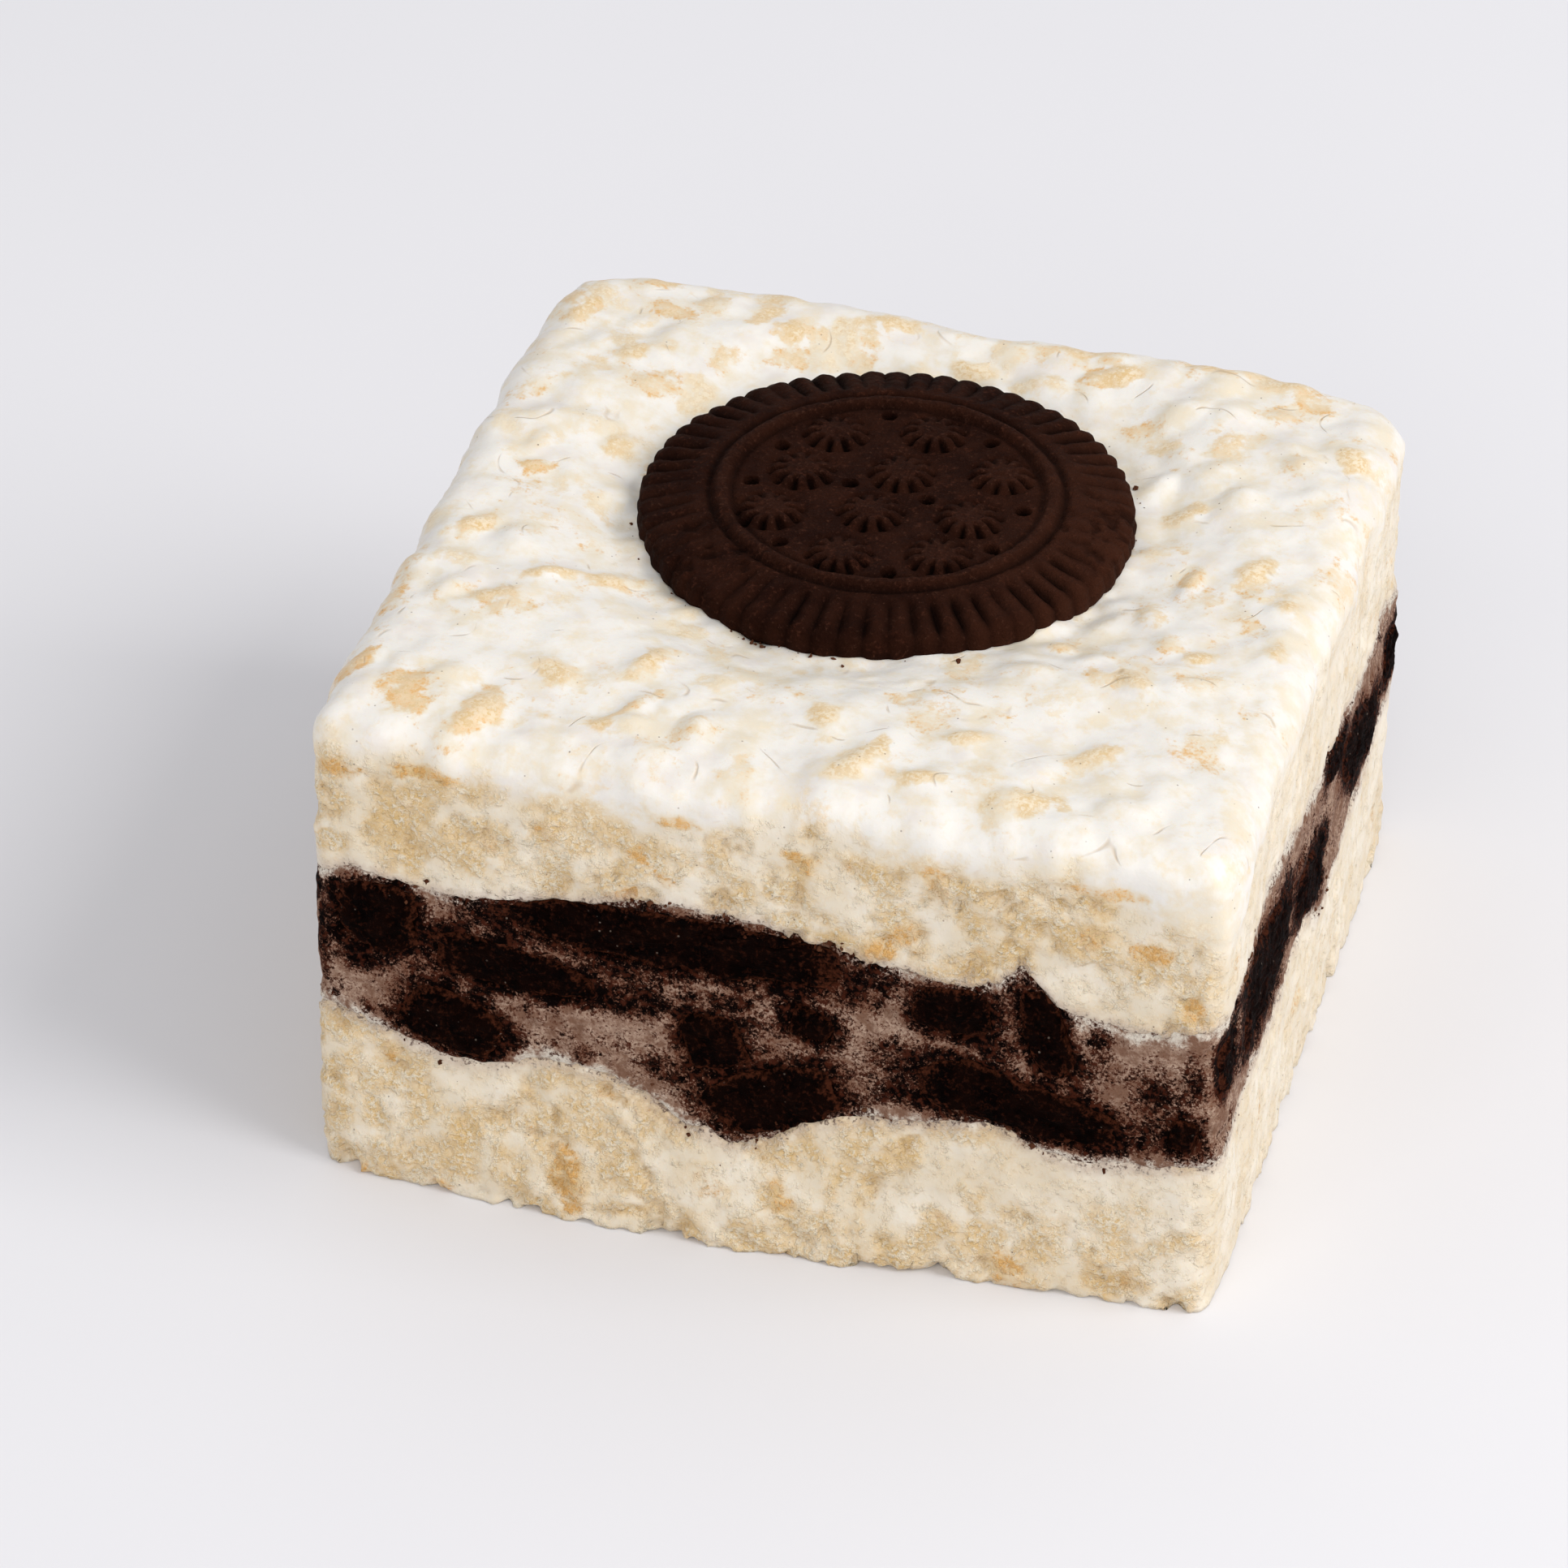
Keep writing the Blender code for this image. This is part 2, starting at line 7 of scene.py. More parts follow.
import bpy
import numpy as np
from mathutils import Matrix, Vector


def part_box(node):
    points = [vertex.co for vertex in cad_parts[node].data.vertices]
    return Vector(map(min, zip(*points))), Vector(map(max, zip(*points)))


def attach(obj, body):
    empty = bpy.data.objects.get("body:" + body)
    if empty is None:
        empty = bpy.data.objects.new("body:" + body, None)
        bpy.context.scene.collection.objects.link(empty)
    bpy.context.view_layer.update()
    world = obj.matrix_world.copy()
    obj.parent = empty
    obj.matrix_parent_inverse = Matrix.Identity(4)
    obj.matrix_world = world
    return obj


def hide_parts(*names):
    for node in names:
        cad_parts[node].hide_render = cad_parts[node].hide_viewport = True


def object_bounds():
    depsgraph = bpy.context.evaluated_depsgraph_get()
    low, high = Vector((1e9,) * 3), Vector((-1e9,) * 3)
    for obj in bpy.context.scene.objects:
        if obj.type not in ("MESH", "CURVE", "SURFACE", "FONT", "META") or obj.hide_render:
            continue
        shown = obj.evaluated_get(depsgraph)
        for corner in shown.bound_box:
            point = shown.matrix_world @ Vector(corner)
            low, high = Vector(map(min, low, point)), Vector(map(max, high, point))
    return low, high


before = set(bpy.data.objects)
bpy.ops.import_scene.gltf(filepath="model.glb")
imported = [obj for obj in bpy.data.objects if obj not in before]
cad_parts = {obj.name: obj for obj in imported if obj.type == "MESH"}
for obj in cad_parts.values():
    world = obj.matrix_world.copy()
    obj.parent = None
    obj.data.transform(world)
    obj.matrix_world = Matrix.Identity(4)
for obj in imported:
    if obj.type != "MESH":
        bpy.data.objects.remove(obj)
cad_low, cad_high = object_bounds()

# The lower layer: puffed rice grains stirred into melted marshmallow, pressed flat in a tray and
# cut through with a knife, so that its sides show grains cut open in a white, translucent binder.
# It rests on a flat foot whose edge is ragged where grains broke off.
MM = 0.001
half_x = (cad_high.x - cad_low.x) / 2
half_y = 39.8 * MM
top_z = 48.9 * MM
seam_low_z = 16.2 * MM
seam_high_z = 31.6 * MM
front_foot_bulge = 2.8 * MM
back_left_lean = 2.2 * MM
foot_ragged = 1.0 * MM
layer_overlap = 0.5 * MM
COLUMNS = 960
LOWER_ROWS = 44
LOW_SEAM_SWELLS = (
    (-41, -40, 5, 1.8), (-27, -40, 6, -2.2), (-3, -40, 9, -5.2), (21, -40, 3, 0.9),
    (30, -40, 5, -1.6), (41, -28, 6, 1.6), (41, -7, 5, 2.0), (41, 6, 5, -2.2),
    (41, 36, 5, 2.2), (12, 40, 9, -3.4), (-24, 40, 8, 1.6), (30, 40, 6, 1.2),
    (-41, 18, 7, -2.8), (-41, -12, 8, 1.5),
)


def smooth(low, high, value):
    """0 below low, 1 above high, and the S curve 3s^2 - 2s^3 between them."""
    share = np.clip((value - low) / (high - low), 0.0, 1.0)
    return share * share * (3.0 - 2.0 * share)


def square_walk(count):
    """Points spaced evenly round the square from -1 to 1, counter-clockwise from the front left
    corner: side number n runs along one edge while the walk's share goes from n/4 to (n+1)/4."""
    share = np.arange(count) / count * 4.0
    side, along = np.floor(share).astype(int), share % 1.0 * 2.0 - 1.0
    one = np.ones(count)
    return np.choose(side, (along, one, -along, -one)), np.choose(side, (-one, along, one, -along))


def plan(across, up, height, inset=0.0):
    """The block's outline at a height. A point of the square is drawn in to the superellipse
    |x|^n + |y|^n = 1, with n high at the front corners and lower at the back ones. The front
    spreads at its foot by a bell curve, and the back leans out at its top left."""
    left = 1.0 - smooth(-0.5, 0.5, across)
    softened = smooth(seam_low_z, top_z, height)
    behind = 13.0 - 4.0 * left
    power = 34.0 + (behind - 34.0) * smooth(-0.5, 0.9, up) * (0.35 + 0.65 * softened)
    pull = (np.abs(across) ** power + np.abs(up) ** power) ** (-1.0 / power)
    x, y = across * pull * (half_x - inset), up * pull * (half_y - inset)
    spread = np.exp(-(((x + 8 * MM) / (28 * MM)) ** 2)) * (1.0 - smooth(0.0, 15 * MM, height))
    front = 1.0 - smooth(-0.96, -0.6, up)
    lean = (1.0 - smooth(-0.6, 1.1, across)) * softened * smooth(0.3, 0.96, up)
    y = y - front_foot_bulge * spread * front + back_left_lean * lean
    return np.stack(np.broadcast_arrays(x, y, height), -1)


def swell(points, bumps):
    """The sum of round swells over the plan: rise * exp(-(distance / reach)^2) for each."""
    total = np.zeros(points.shape[:-1])
    for x, y, reach, rise in bumps:
        distance = np.hypot(points[..., 0] - x * MM, points[..., 1] - y * MM)
        total += rise * MM * np.exp(-((distance / (reach * MM)) ** 2))
    return total


def noise(points, size, seed):
    """Smooth noise from -1 to 1: random numbers on a cubic lattice of that size, blended between
    the eight corners round each point by an S curve along every axis."""
    lattice = np.random.default_rng(seed).uniform(-1.0, 1.0, (32, 32, 32))
    place = points / size + 1000.0
    corner = np.floor(place).astype(int)
    share = place - corner
    share = share * share * (3.0 - 2.0 * share)
    total = np.zeros(points.shape[:-1])
    for step in itertools.product((0, 1), repeat=3):
        weight = np.prod(np.where(step, share, 1.0 - share), axis=-1)
        i, j, k = np.moveaxis((corner + step) % 32, -1, 0)
        total += weight * lattice[i, j, k]
    return total


def rough(points, size, seed, octaves=3):
    """Noise of a size plus noise of half that size and half the strength, and so on."""
    return sum(noise(points, size / 2**n, seed + n) / 2**n for n in range(octaves))


def grains(points, cell, seed):
    """Puffed grains packed at random: in each cell of a cubic lattice lies one ellipsoid, moved
    and turned at random. Gives each point's distance from the nearest one, as a share of its
    radius in that direction (0 in its middle, 1 at its skin), and that grain's own number."""
    draw = np.random.default_rng(seed)
    count = 26
    middle = draw.uniform(0.12, 0.88, (count, count, count, 3))
    length = draw.normal(size=(count, count, count, 3))
    length /= np.linalg.norm(length, axis=-1, keepdims=True)
    long_radius = draw.uniform(0.62, 0.86, (count, count, count))
    short_radius = draw.uniform(0.34, 0.46, (count, count, count))
    number = draw.uniform(0.0, 1.0, (count, count, count))
    place = points / cell + 520.0
    corner = np.floor(place).astype(int)
    nearest = np.full(points.shape[:-1], 9.0)
    owner = np.zeros(points.shape[:-1])
    for step in itertools.product((-1, 0, 1), repeat=3):
        i, j, k = np.moveaxis((corner + step) % count, -1, 0)
        offset = place - corner - step - middle[i, j, k]
        along = np.sum(offset * length[i, j, k], axis=-1)
        beside = np.sum(offset * offset, axis=-1) - along**2
        share = np.sqrt((along / long_radius[i, j, k]) ** 2 + beside / short_radius[i, j, k] ** 2)
        owner = np.where(share < nearest, number[i, j, k], owner)
        nearest = np.minimum(share, nearest)
    return nearest, owner


def torn(points):
    """How deep the cut side is torn: the deepest of 150 shallow hollows, each a bell curve round
    its own point of the side."""
    draw = np.random.default_rng(23)
    across, up = square_walk(120)
    depth = np.zeros(points.shape[:-1])
    for _ in range(150):
        spot = draw.integers(120)
        level, reach = draw.uniform(0.0, top_z), draw.uniform(2.2, 4.2) * MM
        deep = draw.uniform(0.2, 0.65) * MM
        middle = plan(across[spot], up[spot], np.float64(level))
        span = np.linalg.norm(points - middle, axis=-1)
        depth = np.maximum(depth, deep * np.exp(-((span / reach) ** 2)))
    return depth


def tuck(past_seam):
    """How far a layer turns in behind its neighbour, by the height past their seam: an S curve, so
    that at the seam itself both are as far in and cross there."""
    return layer_overlap * smooth(-0.3 * MM, layer_overlap, past_seam)


def cut_side(across, up, height, inset=0.0, tucked=0.0):
    """The knife-cut side at a height: the outline, less the torn hollows, with soft lumps of
    noise. All three layers use it, so they meet flush at their seams."""
    points = plan(across, up, height, inset)
    deep = torn(plan(across, up, height)) - 0.22 * MM * rough(points, 3.2 * MM, 41) + tucked
    inward = -points[..., :2] / np.linalg.norm(points[..., :2], axis=-1, keepdims=True)
    points[..., :2] += inward * deep[..., None]
    return points


def outward(rows):
    """Unit normals of a closed grid: the cross product of the steps round it and up it."""
    round_step = np.roll(rows, -1, axis=1) - np.roll(rows, 1, axis=1)
    normal = np.cross(round_step, np.gradient(rows, axis=0))
    return normal / np.maximum(np.linalg.norm(normal, axis=-1, keepdims=True), 1e-12)


def closed_mesh(name, rows, **attributes):
    """A closed mesh from rings of points, from the bottom pole up to the top one: quads between
    rings and a fan of triangles to the mean of the first and the last. Attributes are one number
    for each grid point."""
    levels, columns = rows.shape[:2]
    points = np.concatenate([rows.reshape(-1, 3), [rows[0].mean(0)], [rows[-1].mean(0)]])
    here = np.arange(levels * columns).reshape(levels, columns)
    ahead = np.roll(here, -1, axis=1)
    quads = np.stack([here[:-1], ahead[:-1], ahead[1:], here[1:]], -1).reshape(-1, 4)
    pole = np.full(columns, levels * columns)
    low_fan = np.stack([ahead[0], here[0], pole], -1)
    high_fan = np.stack([here[-1], ahead[-1], pole + 1], -1)
    mesh = bpy.data.meshes.new(name)
    mesh.from_pydata(points, [], quads.tolist() + low_fan.tolist() + high_fan.tolist())
    for key, values in attributes.items():
        flat = np.concatenate([values.ravel(), [values[0].mean()], [values[-1].mean()]])
        mesh.attributes.new(key, "FLOAT", "POINT").data.foreach_set("value", flat)
    mesh.shade_smooth()
    piece = bpy.data.objects.new(name, mesh)
    bpy.context.scene.collection.objects.link(piece)
    return piece


def cut_grains(points, seed):
    """What a knife shows in a crisp layer: how much of each point is cut grain, how toasted that
    grain is, and how deep its pores are. The right side shows more marshmallow than grain."""
    shift = np.stack([noise(points, 2.0 * MM, seed + n) for n in (1, 2, 3)], -1)
    wander = points + 0.8 * MM * shift
    nearest, number = grains(wander, 3.7 * MM, seed)
    binder = smooth(0.15, 0.6, rough(points, 6.5 * MM, seed + 7, 2))
    grain = (1.0 - smooth(0.75, 1.9, nearest)) * (1.0 - 0.75 * binder)
    grain *= 1.0 - 0.7 * smooth(0.94, 1.0, points[..., 0] / half_x)
    toast = smooth(0.55, 1.0, number) * smooth(1.5, 0.8, nearest) * smooth(0.0, 0.5, grain)
    toast *= smooth(-0.5, 0.6, rough(points, 3.0 * MM, seed + 8, 3))
    pore = grain * smooth(0.0, 0.65, rough(points, 1.1 * MM, seed + 5, 2))
    pore *= smooth(-0.45, 0.5, noise(points, 4.0 * MM, seed + 6))
    return grain, toast, pore


across, up = square_walk(COLUMNS)
foot = plan(across, up, np.zeros(COLUMNS))
ragged = foot_ragged * (0.1 + 1.3 * smooth(0.0, 0.9, rough(foot, 3.0 * MM, 7, 5)))
seam = plan(across, up, np.full(COLUMNS, seam_low_z))
low_seam = seam_low_z + swell(seam, LOW_SEAM_SWELLS) + 0.3 * MM * rough(seam, 2.4 * MM, 43)
share = np.linspace(0.0, 1.0, LOWER_ROWS)[:, None]
height = ragged + (low_seam + layer_overlap - ragged) * share
side = cut_side(across, up, height, tucked=tuck(height - low_seam))
grain, toast, pore = cut_grains(side, 60)
relief = MM * (rough(side, 1.2 * MM, 51) * (0.08 + 0.2 * grain) - 0.5 * pore)
near_foot = smooth(3.5 * MM, 0.0, side[..., 2])
chipped = 1.3 * MM * smooth(0.0, 0.9, rough(side, 2.4 * MM, 57)) * near_foot
side = side + outward(side) * (relief - chipped)[..., None]
base = side[0, :, :2]
inward = -base / np.linalg.norm(base, axis=-1, keepdims=True) * MM
under = [np.column_stack([base + inward * inset, ragged * lift])
         for inset, lift in ((14.0, 0.0), (1.2, 0.0), (0.5, 0.25))]
over = side[-1] * (0.8, 0.8, 1.0)
rows = np.concatenate([under, side, [over]])
pad = [(3, 1), (0, 0)]
lower = closed_mesh(
    "lower_crisps", rows,
    grain=np.pad(grain, pad, mode="edge"), toast=np.pad(toast, pad, mode="edge"),
    pore=np.pad(pore, pad, mode="edge"), coat=np.zeros(rows.shape[:2]),
    dust=np.pad(smooth(2.0 * MM, 0.0, low_seam - side[..., 2]), pad, mode="edge"),
)


class Wire:
    """A socket in an expression. The operators add Math nodes, and node() adds any other."""

    def __init__(self, tree, socket):
        self.tree, self.socket = tree, socket

    def node(self, kind, settings=None, inputs=None, output=0):
        """A node of a type: its settings first, then the values or links of its sockets."""
        made = self.tree.nodes.new(kind)
        for key, value in (settings or {}).items():
            setattr(made, key, value)
        for key, value in (inputs or {}).items():
            if isinstance(value, Wire):
                self.tree.links.new(value.socket, made.inputs[key])
            else:
                made.inputs[key].default_value = value
        return Wire(self.tree, made.outputs[output])

    def math(self, operation, *others):
        """A Math node on this value and the others."""
        values = (self, *others)
        return self.node("ShaderNodeMath", {"operation": operation}, dict(enumerate(values)))

    def __add__(self, other):
        return self.math("ADD", other)

    def __mul__(self, other):
        return self.math("MULTIPLY", other)

    def __sub__(self, other):
        return self.math("SUBTRACT", other)

    def __rsub__(self, other):
        return self.node("ShaderNodeMath", {"operation": "SUBTRACT"}, {0: other, 1: self})

    __radd__ = __add__
    __rmul__ = __mul__

    def between(self, low, high):
        """0 below low, 1 above high, and an S curve between them."""
        return self.node(
            "ShaderNodeMapRange", {"interpolation_type": "SMOOTHSTEP"},
            {"Value": self, "From Min": low, "From Max": high},
        )

    def mix(self, low, high):
        """A colour that goes from low to high as this goes from 0 to 1."""
        colours = {
            key: value if isinstance(value, Wire) else (*value, 1.0)
            for key, value in ((6, low), (7, high))
        }
        return self.node(
            "ShaderNodeMix", {"data_type": "RGBA"}, {0: self, **colours}, output=2
        )

    def noise(self, size, detail=3.0, roughness=0.55):
        """Blender's noise over these coordinates, with its largest bumps about that wide."""
        return self.node(
            "ShaderNodeTexNoise", None,
            {"Vector": self, "Scale": 1.0 / size, "Detail": detail, "Roughness": roughness},
        )

    def cells(self, size):
        """Distance to the nearest of points scattered about that far apart."""
        return self.node("ShaderNodeTexVoronoi", None, {"Vector": self, "Scale": 1.0 / size})

    def attribute(self, name):
        """The number that the mesh carries under a name."""
        return self.node("ShaderNodeAttribute", {"attribute_name": name}, output=2)

    def bump(self, depth):
        """The normal of this height, which is a share of a depth in metres."""
        return self.node("ShaderNodeBump", None, {"Height": self, "Distance": depth})


def new_material(name):
    """A material, its shader node, and its Object coordinates as a Wire."""
    material = bpy.data.materials.new(name)
    material.use_nodes = True
    tree = material.node_tree
    coordinates = tree.nodes.new("ShaderNodeTexCoord")
    return material, tree.nodes["Principled BSDF"], Wire(tree, coordinates.outputs["Object"])


def connect(shader, wires, constants):
    """Links wires to a shader's sockets and sets its constant ones."""
    for key, wire in wires.items():
        wire.tree.links.new(wire.socket, shader.inputs[key])
    for key, value in constants.items():
        shader.inputs[key].default_value = value


BINDER_DEEP, BINDER_PALE = (0.745, 0.65, 0.50), (0.82, 0.745, 0.62)
COAT_WHITE, COAT_MAUVE_SHADE, COAT_THIN = (0.838, 0.805, 0.75), (0.755, 0.70, 0.65), (0.79, 0.71, 0.57)
GRAIN_TAN, GRAIN_CREAM = (0.69, 0.455, 0.175), (0.83, 0.72, 0.54)
GRAIN_TOASTED, GRAIN_PIT_SHADE = (0.73, 0.42, 0.14), (0.56, 0.345, 0.13)
DUSTED, CREASE_TAN, BISCUIT_SPECK = (0.50, 0.395, 0.33), (0.60, 0.44, 0.27), (0.085, 0.032, 0.018)

crisp_material, shader, place = new_material("crisps_in_marshmallow")
grain, toast = place.attribute("grain"), place.attribute("toast")
pore, coat, dust = place.attribute("pore"), place.attribute("coat"), place.attribute("dust")
curdle = place.noise(1.3 * MM, 4.0, 0.62)
broad = place.noise(6.0 * MM, 1.0)
crumb = place.noise(0.45 * MM, 2.0, 0.7)
foam = place.cells(0.85 * MM)
patchy = grain + (curdle - 0.5) * 2.6 + (crumb - 0.5) * 1.6
blended = patchy.between(-0.3, 1.2)
shown = blended + (patchy.between(0.1, 1.0) - blended) * coat
cut = shown * (1.0 - coat)
veil = place.noise(3.4 * MM, 3.0, 0.6)
thin = (veil - 0.5) * 2.6 + (broad - 0.5) * 1.6 + (curdle - 0.5) * 1.4 + grain * 1.2 + 0.28
binder = broad.between(0.35, 0.65).mix(BINDER_DEEP, BINDER_PALE)
# Painted shade: faint mauve-grey patches tint the white coat the way its shaded hollows look,
# though noise lays them at random.
mauve_shade = place.noise(4.6 * MM, 3.0, 0.6).between(0.48, 0.68) * 0.7
white = mauve_shade.mix(COAT_WHITE, COAT_MAUVE_SHADE)
poured = thin.between(0.0, 1.0).mix(white, COAT_THIN)
marshmallow = coat.mix(binder, poured)
tone = (curdle - 0.5) * 1.4 + (crumb - 0.5) * 2.4 + (broad - 0.5) * 0.6
beige = tone.between(-0.36, 0.42).mix(GRAIN_TAN, GRAIN_CREAM)
toasted = (toast * (tone * 2.0 + 0.70)).between(0.05, 1.0).mix(beige, GRAIN_TOASTED)
# Painted shade: the foam cells and deep pores of cut grains are coloured a darker, warmer tan that
# stands for the shade inside them.
hollow = (0.40 - foam + (crumb - 0.5) * 0.8).between(-0.05, 0.30)
hollow = hollow * (0.25 + pore * 1.3 + (0.5 - curdle) * 1.5).between(0.0, 1.0) * cut
hollow = hollow.math("MAXIMUM", pore * cut * 0.55)
pore_shaded = (hollow * 0.75).mix(toasted, GRAIN_PIT_SHADE)
body = (shown * (1.0 - coat * 0.12)).mix(marshmallow, pore_shaded)
tinted = (dust * (curdle + 0.1).between(0.3, 0.7) * 0.7).mix(body, DUSTED)
gate = broad.between(0.42, 0.62)
speck = (1.0 - place.cells(1.35 * MM).between(0.035, 0.085)) * gate * 0.7
smudge = (dust * 0.9 + (crumb - 0.62) * 2.0).between(0.6, 0.95) * 0.8
fold = place.noise(7.0 * MM, 0.5, 0.4)
crease = (1.0 - (fold - 0.5).math("ABSOLUTE") * 90).between(0.0, 1.0) * coat
crease = crease * place.noise(3.6 * MM, 1.0).between(0.56, 0.68) * 0.5
creased = crease.mix(tinted, CREASE_TAN)
coloured = speck.math("MAXIMUM", smudge).mix(creased, BISCUIT_SPECK)
gloss = cut * 0.10 + 0.36 + (curdle - 0.5) * 0.2
height = (foam - 0.5) * cut * 0.8 + (crumb - 0.5) * (cut * 1.5 + 0.06)
height = height + (curdle - 0.5) * (cut * 2.0 + 0.2) - crease * 0.5
connect(
    shader,
    {"Base Color": coloured, "Roughness": gloss, "Normal": height.bump(0.30 * MM)},
    {"Subsurface Weight": 0.2, "Subsurface Radius": (1.0, 0.8, 0.6),
     "Subsurface Scale": 0.7 * MM, "Specular IOR Level": 0.4},
)
lower.data.materials.append(crisp_material)
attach(lower, "root")
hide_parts("lower_crisp_layer")

# The filling: chocolate biscuits broken up in vanilla cream, pressed on the lower layer. Its cut
# side is a lilac-grey cream full of biscuit dust, stained dark round the larger pieces. It fades
# into the white marshmallow at both seams.
FILLING_ROWS = 60
HIGH_SEAM_SWELLS = (
    (-37, -40, 4, 1.4), (-7, -40, 14, 3.3), (23.5, -40, 2.4, 3.0), (34, -40, 8, -1.7),
    (41, -19, 9, 3.0), (41, 21, 8, -1.8), (41, 38, 7, -2.6), (18, 40, 9, 2.4),
    (-14, 40, 7, -1.6), (-41, 24, 8, 1.6), (-41, 2, 8, 2.8), (-41, -22, 6, -1.2),
)
# The biscuit pieces that show on each side, which also stain the cream round them: along the
# side, height, half width, half height, turn in degrees, taper.
CHUNKS = {
    "front": (
        (-35.3, 28.3, 4.2, 4.0, -4, 0.0), (-7.8, 31.0, 17.0, 3.2, -1, 0.05),
        (-22.6, 25.1, 8.4, 2.5, -6, -0.3), (-28.3, 18.0, 5.2, 3.3, -18, -0.1),
        (-4.4, 20.8, 3.2, 3.4, 12, -0.1), (1.4, 15.7, 6.6, 3.5, 22, 0.0),
        (4.6, 24.3, 2.2, 1.6, -12, 0.0), (17.4, 28.7, 3.8, 2.8, -4, 0.1),
        (25.7, 27.9, 2.2, 5.3, 16, 0.0), (23.4, 19.7, 10.2, 3.0, -8, -0.2),
        (38.4, 19.3, 1.4, 2.0, -10, 0.0),
    ),
    "right": (
        (-35.4, 25.8, 2.6, 3.2, 6, 0.0), (-20.8, 25.2, 10.0, 5.8, -6, -0.1),
        (-1.6, 21.9, 6.6, 3.8, -16, 0.0), (7.6, 28.8, 5.2, 1.9, -16, 0.0),
        (21.2, 22.2, 8.8, 3.6, -14, 0.0), (34.8, 22.6, 3.4, 2.9, -14, 0.0),
    ),
    "back": (
        (-28.4, 24.2, 3.9, 4.0, 10, 0.1), (-15.4, 27.2, 7.4, 2.2, -4, -0.2),
        (-17.8, 21.0, 5.2, 2.3, 6, 0.1), (-2.4, 22.2, 4.4, 4.8, 16, 0.0),
        (13.2, 28.4, 8.6, 2.7, 3, 0.1), (11.8, 19.4, 5.8, 3.2, -8, -0.2),
        (29.0, 23.8, 6.0, 3.9, -7, 0.2),
    ),
    "left": (
        (-26.4, 24.4, 4.6, 4.1, -8, 0.0), (-13.6, 24.6, 4.8, 3.8, 6, -0.2),
        (0.0, 29.4, 6.2, 2.5, -3, 0.1), (0.6, 21.8, 6.4, 2.9, 4, -0.2),
        (14.2, 23.0, 5.0, 4.8, -6, 0.1), (26.0, 25.4, 4.4, 3.6, 8, 0.0),
    ),
}

# Biscuit dust that stains the cream between the pieces on the front: along, height, half width,
# half height, strength. The other sides draw theirs at random.
FRONT_SMUDGES = (
    (-31.0, 26.5, 4.0, 3.6, 1.0), (-36.5, 24.0, 4.6, 2.6, 0.8), (-40.8, 25.0, 1.6, 7.0, 1.0),
    (-27.5, 22.0, 4.0, 2.0, 0.75), (-11.5, 24.0, 5.0, 2.4, 0.9), (-16.0, 17.0, 1.5, 1.5, 0.85),
    (-35.0, 18.2, 2.6, 1.2, 0.7), (-8.0, 17.0, 3.4, 2.2, 0.8), (9.5, 30.5, 2.2, 2.0, 0.7),
    (13.0, 22.0, 1.4, 4.0, 0.5), (21.5, 25.5, 3.0, 2.2, 0.75), (30.5, 24.5, 3.0, 4.0, 0.5),
    (35.5, 23.0, 5.0, 4.2, 0.48), (30.5, 28.5, 2.0, 1.6, 0.6), (39.0, 26.0, 1.6, 3.0, 0.5),
    (2.0, 27.0, 4.6, 1.6, 0.6), (-22.0, 20.6, 2.0, 1.2, 0.5), (-13.0, 27.0, 7.5, 1.7, 0.85),
    (-4.0, 25.6, 4.5, 1.5, 0.75), (0.5, 22.0, 6.0, 3.6, 0.45), (9.0, 18.5, 3.0, 3.0, 0.4),
    (21.0, 23.0, 6.0, 1.6, 0.55),
)


def side_place(side_name, along):
    """The square's coordinates of a distance along a named side, from its middle."""
    share_x, share_y = np.clip(along / half_x, -1, 1), np.clip(along / half_y, -1, 1)
    one = np.ones_like(along)
    return {
        "front": (share_x, -one), "right": (one, share_y),
        "back": (-share_x, one), "left": (-one, -share_y),
    }[side_name]


def chunk_share(chunk, along, height):
    """Distance from a biscuit piece's middle as a share of its outline there: a superellipse,
    turned, and taller towards one end."""
    middle, level, half_width, half_height, degrees, taper = chunk
    turn = math.radians(degrees)
    right, rise = along - middle * MM, height - level * MM
    flat = (right * math.cos(turn) + rise * math.sin(turn)) / (half_width * MM)
    tall = (rise * math.cos(turn) - right * math.sin(turn)) / (half_height * MM)
    tall = tall / (1.0 + taper * np.clip(flat, -1, 1))
    return (np.abs(flat) ** 3.2 + np.abs(tall) ** 3.2) ** (1 / 3.2)


